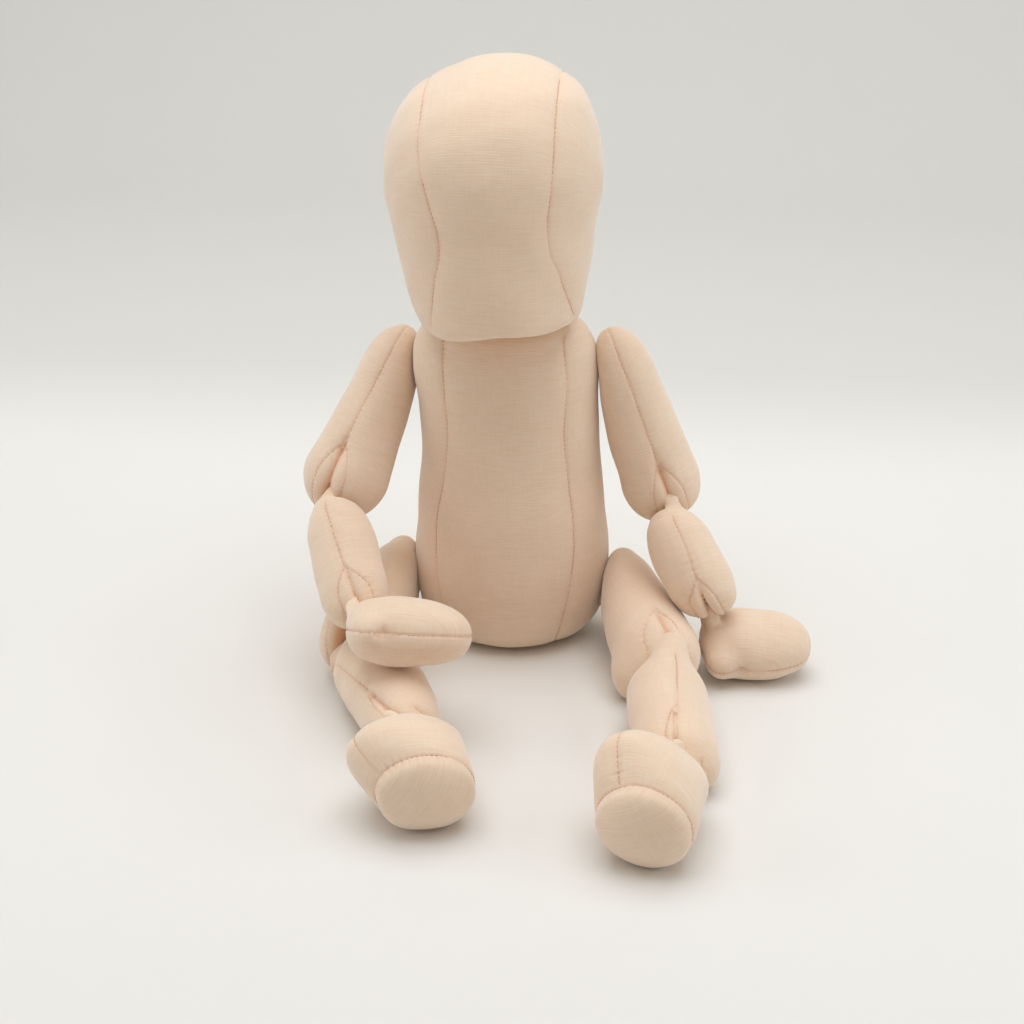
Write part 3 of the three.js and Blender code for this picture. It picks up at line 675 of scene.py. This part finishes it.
ELBOW_HALF = {"left": 20.3, "right": 21.9}
OUTWARD = {"left": 1, "right": -1}
SLOT_APEX = {
    "left_elbow": 15.5, "right_elbow": 16.0, "left_wrist": 1.5, "right_wrist": 7.5,
    "left_knee": 10.0, "right_knee": 12.0, "left_ankle": 8.0, "right_ankle": 13.5,
}
SLOT_SKEW = {
    "left_elbow": 0.0, "right_elbow": 2.5, "left_wrist": 3.5, "right_wrist": -2.5,
    "left_knee": 0.0, "right_knee": 0.0, "left_ankle": 8.0, "right_ankle": 6.5,
}
SPREAD_START = 3.0
SPREAD = {
    "left_elbow": 0.16, "right_elbow": 0.12, "left_wrist": 0.14, "right_wrist": 0.08,
    "left_knee": 0.42, "right_knee": 0.42, "left_ankle": 0.03, "right_ankle": 0.03,
}
GUSSET = {
    "left_elbow": (8.2, 8.2), "right_elbow": (8.2, 8.2),
    "left_wrist": (7.0, 7.0), "right_wrist": (8.2, 8.2),
    "left_knee": (14.0, 7.0), "right_knee": (10.0, 10.0),
    "left_ankle": (2.2, 13.0), "right_ankle": (3.0, 10.0),
}
FRONT = {
    "left_elbow": np.array([0.2, -0.95, 0.15]), "right_elbow": np.array([-0.1, -0.8, 0.4]),
    "left_wrist": np.array([0, -0.6, 0.6]), "right_wrist": np.array([-0.1, -0.7, 0.6]),
    "left_knee": np.array([0.15, -0.2, 1]), "right_knee": np.array([-0.15, -0.1, 1]),
    "left_ankle": np.array([0.45, -0.3, 0.9]), "right_ankle": np.array([-0.1, -0.4, 0.9]),
}


def both_ways(stations):
    """Stations of a form that is as deep in front as behind."""
    return [(place, half, deep, deep) for place, half, deep in stations]


def slot_line(joint, front):
    """How far the split of a joint lies to the side of its pin, at a distance in front of the pin."""
    return SLOT_SKEW[joint] * np.clip(front / SKEW_REACH, 0, 1)


def split_end(form, local, joint):
    """A form with its lower end split round the pin at the local origin, between two round lobes. The
    split has room for a tongue round the pin, is pressed shut further out, and parts below."""
    x, y, z = local.T
    kind = joint.split("_")[1]
    shut = np.clip((np.hypot(y, z) - TONGUE_WIDE[kind] - TIP_ROOM) / SLOT_EASE, 0, 1)
    pressed = SLOT_SHUT.get(joint, SLOT_PRESSED)
    half = SLOT_ROOM + (pressed - SLOT_ROOM) * shut * shut * (3 - 2 * shut)
    half -= SLOT_NARROWS * np.maximum(z - SLOT_APEX[joint] + SLOT_FADE, 0)
    half += SPREAD[joint] * np.maximum(-z - SPREAD_START, 0)
    return smooth_max(form, half - np.hypot(x - slot_line(joint, y), SLOT_BLUNT), LOBE_EASE[kind])


def lobe_end(lobe):
    """The lowest stations of a limb: the pole and the roundness of its two lobes."""
    down, wide = LOBE_RING
    return [(-lobe, 0, 0), (-lobe * down, lobe * wide, lobe * wide)]


def swollen(form, points, swell):
    """A form made fuller at a spot, which is given as its place and radius."""
    if not swell:
        return form
    return smooth_min(form, np.linalg.norm(points - swell[0], axis=1) - swell[1], SWELL_EASE)


def rays_in(field, place, starts, rays):
    """Where rays given in a local frame come out of a form."""
    rays = rays / np.linalg.norm(rays, axis=1)[:, None]
    return to_surface(field, to_world(starts, place), rays @ place[1].T)


def sleeve_seam(field, place, joint, top, path):
    """The seam of a limb. On the path "over" it runs up the front from the split, over the top and down
    the back, on "apart" it leaves out the top, and on "behind" it only runs down the back."""
    over = path == "over"
    rise = np.linspace(SLOT_APEX[joint], top, SLEEVE_POINTS)
    still = np.zeros(SLEEVE_POINTS)
    slide = SLOT_SKEW[joint] * (np.linspace(1, 0, SLEEVE_POINTS) if over else np.ones(SLEEVE_POINTS))
    ahead = np.tile([0.0, 1.0, 0.0], (SLEEVE_POINTS, 1))
    front = rays_in(field, place, np.stack([slide, still, rise], 1), ahead)
    back = rays_in(field, place, np.stack([still, still, rise], 1), -ahead)
    if not over:
        return [front, back] if path == "apart" else [back]
    turns = np.linspace(0, math.pi, TOP_POINTS)
    fan = np.stack([np.zeros(TOP_POINTS), np.cos(turns), np.sin(turns)], 1)
    crown = rays_in(field, place, np.tile([0.0, 0.0, top], (TOP_POINTS, 1)), fan)
    return [np.concatenate([front, crown[1:-1], back[::-1]])]


def gusset_seams(field, place, joint, radius):
    """The two seams of a gusset: they leave the point of the split in front, part, pass under the
    lobes and meet again behind."""
    peak = math.atan2(SLOT_APEX[joint], radius * GUSSET_PEAK)
    turns = np.linspace(peak, -math.pi - peak, GUSSET_POINTS)
    still = np.zeros(GUSSET_POINTS)
    from_peak = np.minimum(peak - turns, turns + math.pi + peak) / GUSSET_TURN
    swell = np.sin(np.clip(from_peak, 0, 1) * math.pi / 2) ** GUSSET_CURVE
    aims = radius * np.stack([still, np.cos(turns), np.sin(turns)], 1)
    slide = slot_line(joint, aims[:, 1])
    seams = []
    for side, half in zip((1, -1), GUSSET[joint]):
        starts = np.stack([slide + side * LOBE_HEART, still, still], 1)
        aims[:, 0] = slide + side * (GUSSET_LEAST + (half - GUSSET_LEAST) * swell)
        seams.append(rays_in(field, place, starts, aims - starts))
    return seams


def grain_round(place, radius):
    """Cloth wrapped round a limb, with its edges meeting at the back."""

    def grain(points):
        x, y, z = to_local(points, place).T
        return np.stack([radius * np.arctan2(x, y), np.zeros(len(points)), z], 1)

    return grain


def fork_frame(joint, towards):
    """The frame of a split end: the joint's pin along X, and the limb running down to it from +Z."""
    axis = joint_axis[joint]
    facing = np.cross(-towards, axis)
    return local_frame(joint_at[joint], axis if FRONT[joint] @ facing > 0 else -axis, -towards)


def add_disc_limb(name, root, end, out, top, stations, lobe, ease, path, seed, swell=None):
    """A limb that hangs on a disc joint beside the torso and ends in a split. `ease` rounds the edge of
    the face that the disc presses flat, and a `swell` is a fuller spot of the lobes."""
    side = OUTWARD[name.split("_")[0]]
    start = joint_at[root] + np.array([side * out, 0, 0])
    length = np.linalg.norm(joint_at[end] - start)
    place = fork_frame(end, unit(joint_at[end] - start))
    limb = stuffed_form(both_ways(lobe_end(lobe) + stations(length) + [(length + top, 0, 0)]))
    face = joint_at[root][0] * side - DISC_HUG

    def pressed(form, points):
        beside = np.maximum(face - points[:, 0] * side, TORSO_CLEAR - torso_field(points))
        return smooth_max(form, beside, ease)

    def field(points):
        local = to_local(points, place)
        split = split_end(swollen(limb(local), points, swell), local, end)
        return smooth_max(pressed(split, points), -points[:, 2], FLOOR_EASE)

    def full(points):
        return pressed(limb(to_local(points, place)), points)

    seams = sleeve_seam(field, place, end, length + top * TOP_SEAM, path)
    seams += gusset_seams(field, place, end, lobe)
    add_stuffed(name, field, full, seams, grain_round(place, lobe), LIMB_CELL, seed)


def upper_arm_stations(length, elbow):
    """Place above the pin of the elbow, half width and depth, from the pin up to the shoulder."""
    return [
        (0, elbow, 20.8), (12, elbow - 0.8, 20.2), (30, 18.8, 19), (length * 0.72, 17.2, 17.4),
        (length, 16.2, 16.2), (length + 13, 12.8, 12.8),
    ]


for seed, side in enumerate(SIDES, 3):
    add_disc_limb(side + "_upper_arm", side + "_shoulder", side + "_elbow", SHOULDER_OUT[side],
                  SHOULDER_TOP, lambda length: upper_arm_stations(length, ELBOW_HALF[side]), ELBOW_LOBE,
                  DISC_EASE, "over", seed)

# Forearms. Each hangs by a flat linen tongue that is pinned between the elbow's lobes, swells from it
# into a stuffed sleeve with a seam in front and behind, and ends in a split of its own.
TONGUE_HALF = 2.3
TONGUE_FLARE = 1.2
TONGUE_FAN = {"left_elbow": 1.4, "right_elbow": 2.0, "left_wrist": 2.4}
TONGUE_START = 4.0
TONGUE_RUN = 12.0
TONGUE_EDGE = 2.6
TONGUE_FOLD = 0.45
TONGUE_PITCH = 5.2
TONGUE_SLANT = 0.25
TONGUE_TUCK = 2
TONGUE_EASE = 1.6
WRIST_LOBE = 16.5
TURN_CLEAR = 1.1
TURN_EASE = 3
SEAM_STOP = 4
LEAN_HALFWAY = 0.6
BROW_LEAN = 0.8
BROW_DOWN = 16
HOOD_TIP = 7.5
HOOD_BROW = 16.5
HOOD_EASE = 8.0
FOREARM_CAP = 3.8
FOREARM_LEAN = {"left": (-4.5, 0, 0), "right": (3.5, 0, 0)}
LEAVES = {
    "left_elbow": np.array([0.1, -0.85, -0.5]), "right_elbow": np.array([-0.2, -0.85, -0.48]),
    "left_wrist": np.array([0.1, 0.05, -1]), "right_wrist": np.array([0.05, -1, -0.05]),
    "left_knee": np.array([-0.1, -1, 0]), "right_knee": np.array([0.3, -0.95, 0]),
    "left_ankle": np.array([-0.25, -1, 0.1]), "right_ankle": np.array([0.2, -1, -0.1]),
}


def tongue_way(joint):
    """The direction in which a tongue leaves its pin, square to the pin."""
    axis = joint_axis[joint]
    return unit(LEAVES[joint] - axis * np.dot(LEAVES[joint], axis))


def tongue_field(joint, reach):
    """Distance to a flat tongue, from its round tip about the pin to `reach` beyond it."""
    place = local_frame(joint_at[joint], joint_axis[joint], tongue_way(joint))
    narrow, fan = TONGUE_WIDE[joint.split("_")[1]], TONGUE_FAN.get(joint, 0)

    def field(points):
        x, y, z = to_local(points, place).T
        beyond = z - np.clip(z, 0, reach)
        opening = np.clip((z - TONGUE_START) / TONGUE_RUN, 0, 1)
        wide = narrow + fan * opening
        folds = TONGUE_FOLD * np.sin(2 * math.pi * (y + TONGUE_SLANT * z) / TONGUE_PITCH)
        thick = TONGUE_HALF + TONGUE_FLARE * opening
        return smooth_max(np.hypot(y, beyond) - wide, np.abs(x + folds) - thick, TONGUE_EDGE)

    return field


def round_cone(points, tip, tip_radius, base, base_radius):
    """Distance to a cone with round ends."""
    run = base - tip
    part = np.clip((points - tip) @ run / (run @ run), 0, 1)
    middle = tip + part[:, None] * run
    return np.linalg.norm(points - middle, axis=1) - tip_radius - part * (base_radius - tip_radius)


def cleared(form, points, joint, lobe):
    """A form kept out of the round room that the lobes above a joint need to turn in."""
    room = lobe + TURN_CLEAR - np.linalg.norm(points - joint_at[joint], axis=1)
    return smooth_max(form, room, TURN_EASE)


def in_frame(form, place):
    """A form of local points as a form of points in the part's own frame."""
    return lambda points: form(to_local(points, place))


def add_tongue_limb(name, root, end, root_lobe, stations, lobe, lean, hood, cap, seed, swell=None):
    """A limb that hangs by a tongue and ends in a split. Its top is closed `cap` mm above the neck, a
    `hood` over it reaches that far from the pin above, and a `swell` is a fuller spot of the lobes."""
    neck = joint_at[root] + tongue_way(root) * root_lobe
    length = np.linalg.norm(joint_at[end] - neck)
    place = fork_frame(end, unit(joint_at[end] - neck))
    tilt = np.array(lean) @ place[1]
    half = tilt * LEAN_HALFWAY
    middle = [(0, 0, 0), (length * 0.5, half[0], half[1]), (length, tilt[0], tilt[1])]
    rows = lobe_end(lobe) + stations(length) + [(length + cap, 0, 0)]
    limb = stuffed_form(both_ways(rows), middle)
    tongue = tongue_field(root, root_lobe + TONGUE_TUCK)
    peak = joint_at[root] + np.array(hood)
    brow = to_world(np.array([[tilt[0] * BROW_LEAN, tilt[1] * BROW_LEAN, length - BROW_DOWN]]), place)[0]

    def field(points):
        local = to_local(points, place)
        split = split_end(swollen(limb(local), points, swell), local, end)
        sleeve = cleared(split, points, root, root_lobe)
        if any(hood):
            sleeve = smooth_min(sleeve, round_cone(points, peak, HOOD_TIP, brow, HOOD_BROW), HOOD_EASE)
        joined = smooth_min(sleeve, tongue(points), TONGUE_EASE)
        return smooth_max(joined, -points[:, 2], FLOOR_EASE)

    seams = sleeve_seam(field, place, end, length - SEAM_STOP, "apart")
    seams += gusset_seams(field, place, end, lobe)
    add_stuffed(name, field, in_frame(limb, place), seams, grain_round(place, lobe), LIMB_CELL, seed)


def forearm_stations(length):
    """Place above the pin of the wrist, half width and depth, from the pin up to the elbow."""
    return [
        (0, 16.8, 16.8), (10, 17, 17.4), (length - 22, 16.8, 17.6), (length - 11, 15.4, 16.8),
        (length - 3.5, 12.2, 14.2), (length + 1.5, 7.6, 9.4),
    ]


for seed, side in enumerate(SIDES, 5):
    add_tongue_limb(side + "_forearm", side + "_elbow", side + "_wrist", ELBOW_LOBE, forearm_stations,
                    WRIST_LOBE, FOREARM_LEAN[side], (0, 0, 0), FOREARM_CAP, seed)

# Hands. Each is a mitten of two linen ovals sewn edge to edge, with a short thumb that a pull of the
# seam parts from the palm. It hangs by a tongue that is pinned in the split of the wrist.
FLAT_GRAIN = 0.15
HAND_HALF = 19.5
HAND_DEEP = 16.2
HAND_POINTS = 200
HAND_HEART = 0.2
HAND_TUCK = 6
MITTEN = [
    (0, 0, 0), (0.08, 0.68, 0.72), (0.28, 0.94, 1), (0.55, 1, 1), (0.75, 0.9, 0.9), (0.93, 0.56, 0.56),
    (1, 0, 0),
]
HAND_LINE = {
    "left": (np.array([99.3, -45, 17.6]), np.array([157, -44, 15.6]), np.array([0, -0.26, 0.965])),
    "right": (np.array([-69.5, -116, 56.0]), np.array([-8.5, -116, 55.0]), np.array([0, 0.44, 0.9])),
}
THUMB_PLACE = {"left": 0.21, "right": 0.23}
THUMB_RADIUS = {"left": 7.2, "right": 6.2}
THUMB_OUT = {"left": 0.82, "right": 0.72}
THUMB_EASE = 6.5
NOTCH_PLACE = {"left": 0.37, "right": 0.33}
NOTCH_OUT = 0.9
NOTCH_DEPTH = 3.2
NOTCH_WIDTH = 3.0


def add_hand(side, seed):
    start, tip, back = HAND_LINE[side]
    length = np.linalg.norm(tip - start)
    along = unit(tip - start)
    across = unit(np.cross(along, back))
    place = local_frame(start, across, along)
    rows = [(length * at, HAND_HALF * half, HAND_DEEP * deep) for at, half, deep in MITTEN]
    mitten = stuffed_form(both_ways(rows))
    wrist = side + "_wrist"
    thumb_at = np.array([HAND_HALF * THUMB_OUT[side], 0, length * THUMB_PLACE[side]])
    heart = start + along * length * HAND_HEART
    tongue = tongue_field(wrist, np.linalg.norm(joint_at[wrist] - heart) - HAND_TUCK)

    def field(points):
        local = to_local(points, place)
        thumb = np.linalg.norm(local - thumb_at, axis=1) - THUMB_RADIUS[side]
        thumbed = smooth_min(mitten(local), thumb, THUMB_EASE)
        palm = cleared(thumbed, points, wrist, WRIST_LOBE)
        joined = smooth_min(palm, tongue(points), TONGUE_EASE)
        return smooth_max(joined, -points[:, 2], FLOOR_EASE)

    turns = np.linspace(0, 2 * math.pi, HAND_POINTS)
    middle = to_world(np.tile([0, 0, length * 0.5], (HAND_POINTS, 1)), place)
    rays = np.stack([np.cos(turns), np.zeros(HAND_POINTS), np.sin(turns)], 1) @ place[1].T
    edge = to_surface(field, middle, rays)
    notch = to_world(np.array([[HAND_HALF * NOTCH_OUT, 0, length * NOTCH_PLACE[side]]]), place)[0]
    grain = grain_along(local_frame(start, along, across), FLAT_GRAIN)
    add_stuffed(side + "_hand", field, in_frame(mitten, place), [edge], grain, LIMB_CELL, seed,
                [(notch, NOTCH_DEPTH, NOTCH_WIDTH)])


for seed, side in enumerate(SIDES, 7):
    add_hand(side, seed)

# Thighs. Fuller linen sleeves than the arms, flat against the torso at the hip disc and lying on the
# floor, with the same split and gusset at the knee.
HIP_OUT = 6.0
HIP_TOP = 19
HIP_EASE = 16.0
KNEE_LOBE = 21.0
THIGH_SWELL = {"left": (np.array([68.0, -74.0, 12.0]), 11.5)}


def thigh_stations(length):
    """Place above the pin of the knee, half width and depth, from the pin up to the hip."""
    return [
        (0, 21.6, 21.2), (14, 22.2, 21.6), (length * 0.6, 21.4, 21.4), (length, 19.8, 20.4),
        (length + 12, 16, 16.8),
    ]


for seed, side in enumerate(SIDES, 9):
    add_disc_limb(side + "_thigh", side + "_hip", side + "_knee", HIP_OUT, HIP_TOP, thigh_stations,
                  KNEE_LOBE, HIP_EASE, "behind", seed, THIGH_SWELL.get(side))

# Calves. Linen sleeves made as the forearms are, and pinned in the knees. The upper end closes to a
# flat ridge, like the end of a pillow, where it turns into the tongue, and the ankle end is split.
ANKLE_LOBE = 19.0
CALF_LEAN = {"left": (-5.0, 0, 0), "right": (12.0, 0, 0)}
CALF_HOOD = {"left": (6.5, -9.5, 11.0), "right": (4.0, -9.5, 8.5)}
CALF_CAP = 0.5
CALF_SWELL = {"left": (np.array([98.5, -155.0, 11.5]), 9.2)}


def calf_stations(length):
    """Place above the pin of the ankle, half width and depth, from the pin up to the knee."""
    return [
        (0, 18.6, 17.8), (12, 19.8, 18.4), (length - 24, 19.6, 18.6), (length - 12, 16.6, 17.4),
        (length - 4.5, 10.2, 13.6),
    ]


for seed, side in enumerate(SIDES, 11):
    add_tongue_limb(side + "_calf", side + "_knee", side + "_ankle", KNEE_LOBE, calf_stations, ANKLE_LOBE,
                    CALF_LEAN[side], CALF_HOOD[side], CALF_CAP, seed, CALF_SWELL.get(side))

# Feet. Each is two side panels of linen sewn along the instep and closed by an oval sole. It hangs by
# a tongue that is pinned in the split of the ankle, and widens towards the sole, which faces forward.
SOLE_BULGE = 12.5
SOLE = {
    "left": {
        "centre": (76.2, -215.5, 22.4), "facing": (-0.24, -0.95, -0.17), "toe": (-0.55, -0.1, 0.84),
        "half": 22.2, "heel": 23.0, "tip": 21.8, "cap": 33.0, "lean": (-2.4, 0.6),
        "fold": (89.5, -163.5, 29.5),
    },
    "right": {
        "centre": (-21.5, -197.0, 21.4), "facing": (0.3, -0.93, -0.2), "toe": (-0.84, 0.1, 0.55),
        "half": 21.6, "heel": 24.0, "tip": 24.0, "cap": 33.4, "lean": (-1.2, 1.2),
        "fold": (-44.0, -151.0, 30.0),
    },
}
FOLD_RADIUS = 3.0
FULLEST = 0.42
RIM_POINTS = 180
INSTEP_START = 8
INSTEP_POINTS = 60


def foot_stations(start, sole):
    """Half width, depth to the heel and depth to the toes, from the neck to the bulge of the sole. The
    cap is the depth of the toes where they are fullest, behind the sole."""
    half, heel, tip, cap = (sole[key] for key in ("half", "heel", "tip", "cap"))
    return [
        (start, 0, 0, 0), (start + 5, half * 0.6, heel * 0.58, cap * 0.52),
        (start * 0.68, half * 0.94, heel * 0.92, cap * 0.88),
        (start * FULLEST, half * 1.06, heel * 1.03, cap),
        (start * 0.18, half * 1.06, heel * 1.03, (cap + tip) * 0.51), (0, half, heel, tip),
        (SOLE_BULGE * 0.45, half * 0.9, heel * 0.9, tip * 0.9),
        (SOLE_BULGE * 0.8, half * 0.6, heel * 0.6, tip * 0.6), (SOLE_BULGE, 0, 0, 0),
    ]


def add_foot(side, seed):
    sole = SOLE[side]
    ankle = side + "_ankle"
    neck = joint_at[ankle] + tongue_way(ankle) * ANKLE_LOBE
    forward, toe = unit(sole["facing"]), unit(sole["toe"])
    place = local_frame(sole["centre"], np.cross(toe, forward), forward)
    neck_at = to_local(neck, place)
    start = neck_at[2]
    bend = [
        (start, neck_at[0], neck_at[1]), (start * FULLEST, *sole["lean"]), (0, 0, 0), (SOLE_BULGE, 0, 0),
    ]
    foot = stuffed_form(foot_stations(start, sole), bend)
    tongue = tongue_field(ankle, ANKLE_LOBE + TONGUE_TUCK)

    def field(points):
        instep = cleared(foot(to_local(points, place)), points, ankle, ANKLE_LOBE)
        joined = smooth_min(instep, tongue(points), TONGUE_EASE)
        pinched = round_cone(points, np.array(sole["fold"]), FOLD_RADIUS, neck, 2 * FOLD_RADIUS)
        return smooth_max(smooth_min(joined, pinched, TONGUE_EASE), -points[:, 2], FLOOR_EASE)

    turns = np.linspace(0, 2 * math.pi, RIM_POINTS)
    rim = np.stack([np.cos(turns), np.sin(turns), np.zeros(RIM_POINTS)], 1)
    sole_seam = rays_in(field, place, np.zeros((RIM_POINTS, 3)), rim)
    along = np.linspace(start + INSTEP_START, 0, INSTEP_POINTS)
    shift = np.clip((along / start - FULLEST) / (1 - FULLEST), 0, 1)
    hearts = np.stack([shift * neck_at[0], shift * neck_at[1], along], 1)
    instep_seam = rays_in(field, place, hearts, np.tile([0.0, 1.0, 0.0], (INSTEP_POINTS, 1)))

    def grain(points):
        """Cloth wrapped round the foot, and laid flat on the sole."""
        x, y, z = to_local(points, place).T
        on_sole = z > 0
        wrapped = np.where(on_sole, x, sole["half"] * np.arctan2(x, y))
        return np.stack([wrapped, np.zeros(len(points)), np.where(on_sole, y, z)], 1)

    add_stuffed(side + "_foot", field, in_frame(foot, place), [sole_seam, instep_seam], grain, LIMB_CELL,
                seed)


for seed, side in enumerate(SIDES, 13):
    add_foot(side, seed)

# Joint hardware. Moulded ivory plastic discs, washers and lock nuts at neck, shoulders and hips, and
# cross pins at the other joints. All of it is buried in the stuffing.
PLASTIC = (0.82, 0.79, 0.70, 1)
PLASTIC_DARK = (0.74, 0.70, 0.60, 1)
PLASTIC_CLOUDS = (120, 120, 120)
CLOUD_RANGE = (0.3, 0.7)
GLOSS_RANGE = (0.35, 0.5)


def make_plastic():
    material = bpy.data.materials.new("ivory_plastic")
    material.use_nodes = True
    tree = material.node_tree
    shader = tree.nodes["Principled BSDF"]
    place = add_node(tree, "ShaderNodeTexCoord")
    cloudy = streaks(tree, place.outputs["Object"], PLASTIC_CLOUDS, 3)
    tree.links.new(mix_colours(tree, cloudy, PLASTIC, PLASTIC_DARK), shader.inputs["Base Color"])
    gloss = map_range(tree, cloudy, *CLOUD_RANGE, *GLOSS_RANGE)
    tree.links.new(gloss, shader.inputs["Roughness"])
    return material


plastic = make_plastic()
for name, node in frame["nodes"].items():
    if not name.endswith(("_cover", "_stuffing")):
        node.data.materials.clear()
        node.data.materials.append(plastic)

# Studio. A pale sweep of paper under and behind the doll, a wide soft light above, weaker ones in front
# and on both sides, and a camera a step away that looks down a little.
SWEEP = (0.825, 0.81, 0.785, 1)
# Painted shade: the colour the paper fades to further back, where less light falls.
SWEEP_FAR_SHADE = (0.71, 0.70, 0.675, 1)
SWEEP_SHADE_FADE = (0.19, 0.39)
SWEEP_HALF = 3.0
SWEEP_FRONT = -2.5
SWEEP_BACK = 0.75
SWEEP_ROUND = 0.35
SWEEP_STEPS = 24
SWEEP_HEIGHT = 2.6
STEEP = 0.999


def make_sweep():
    outline = [(SWEEP_FRONT, 0.0)]
    for step in range(SWEEP_STEPS + 1):
        angle = math.pi / 2 * step / SWEEP_STEPS
        back = SWEEP_BACK + SWEEP_ROUND * math.sin(angle)
        outline.append((back, SWEEP_ROUND * (1 - math.cos(angle))))
    outline.append((SWEEP_BACK + SWEEP_ROUND, SWEEP_HEIGHT))
    points = [(side * SWEEP_HALF / MM, y / MM, z / MM) for y, z in outline for side in (-1, 1)]
    faces = [(2 * i, 2 * i + 1, 2 * i + 3, 2 * i + 2) for i in range(len(outline) - 1)]
    material = bpy.data.materials.new("sweep_paper")
    material.use_nodes = True
    tree = material.node_tree
    shader = tree.nodes["Principled BSDF"]
    place = add_node(tree, "ShaderNodeTexCoord")
    split = add_node(tree, "ShaderNodeSeparateXYZ")
    tree.links.new(place.outputs["Object"], split.inputs[0])
    # Painted shade: the paper is darker further back, where less light reaches it.
    far = map_range(tree, split.outputs[1], *SWEEP_SHADE_FADE, 0, 1)
    tree.links.new(mix_colours(tree, far, SWEEP, SWEEP_FAR_SHADE), shader.inputs["Base Color"])
    shader.inputs["Roughness"].default_value = 0.95
    shader.inputs["Specular IOR Level"].default_value = 0.1
    return add_object("sweep", np.array(points), faces, material)


make_sweep()


def aim_at(made, at, target):
    """Puts a lamp or camera at a point, in metres, looking at another."""
    back = unit(np.asarray(at, float) - np.asarray(target, float))
    right = unit(np.cross((0, 0, 1), back)) if abs(back[2]) < STEEP else np.array([1.0, 0, 0])
    matrix = np.eye(4)
    matrix[:3, :3] = np.stack([right, np.cross(back, right), back], 1)
    matrix[:3, 3] = at
    made.matrix_world = Matrix(matrix.tolist())


def add_light(name, at, target, size, power, colour):
    lamp = bpy.data.lights.new(name, "AREA")
    lamp.color = colour
    lamp.shape = "RECTANGLE"
    lamp.size, lamp.size_y = size
    lamp.energy = power
    made = bpy.data.objects.new(name, lamp)
    aim_at(made, at, target)
    bpy.context.scene.collection.objects.link(made)


SOFTBOX = (0.93, 0.97, 1.0)
WARM_BOX = (1.0, 0.96, 0.92)
BOUNCE = (1.0, 0.89, 0.76, 1)
BOUNCE_STRENGTH = 0.25
add_light("overhead", (0.0, 0.05, 1.5), (0.0, 0.0, 0.0), (1.6, 1.3), 17.8, SOFTBOX)
add_light("over_front", (0.0, -0.8, 1.4), (0.0, 0.0, 0.05), (1.6, 1.0), 2.6, WARM_BOX)
for name, out, power in (("side_left", 1.35, 5.3), ("side_right", -1.35, 4.7)):
    add_light(name, (out, -0.12, 0.62), (0.0, -0.05, 0.12), (1.2, 1.2), power, SOFTBOX)

world = bpy.data.worlds.new("studio")
bpy.context.scene.world = world
world.use_nodes = True
world.node_tree.nodes["Background"].inputs["Color"].default_value = BOUNCE
world.node_tree.nodes["Background"].inputs["Strength"].default_value = BOUNCE_STRENGTH

PICTURE = 1024
FOCAL_PIXELS = 1950
SENSOR = 36.0
CAMERA_AZIMUTH = math.radians(5)
CAMERA_ELEVATION = math.radians(26)
CAMERA_DISTANCE = 0.9168
CAMERA_TARGET = np.array([0.0084, -0.096, 0.1114])
lens = bpy.data.cameras.new("camera")
lens.sensor_width = SENSOR
lens.lens = SENSOR * FOCAL_PIXELS / PICTURE
camera = bpy.data.objects.new("camera", lens)
bpy.context.scene.collection.objects.link(camera)
away = np.array([
    math.sin(CAMERA_AZIMUTH) * math.cos(CAMERA_ELEVATION),
    -math.cos(CAMERA_AZIMUTH) * math.cos(CAMERA_ELEVATION),
    math.sin(CAMERA_ELEVATION),
])
aim_at(camera, CAMERA_TARGET + away * CAMERA_DISTANCE, CAMERA_TARGET)
bpy.context.scene.camera = camera
bpy.context.scene.view_settings.view_transform = "Standard"

bpy.context.view_layer.update()
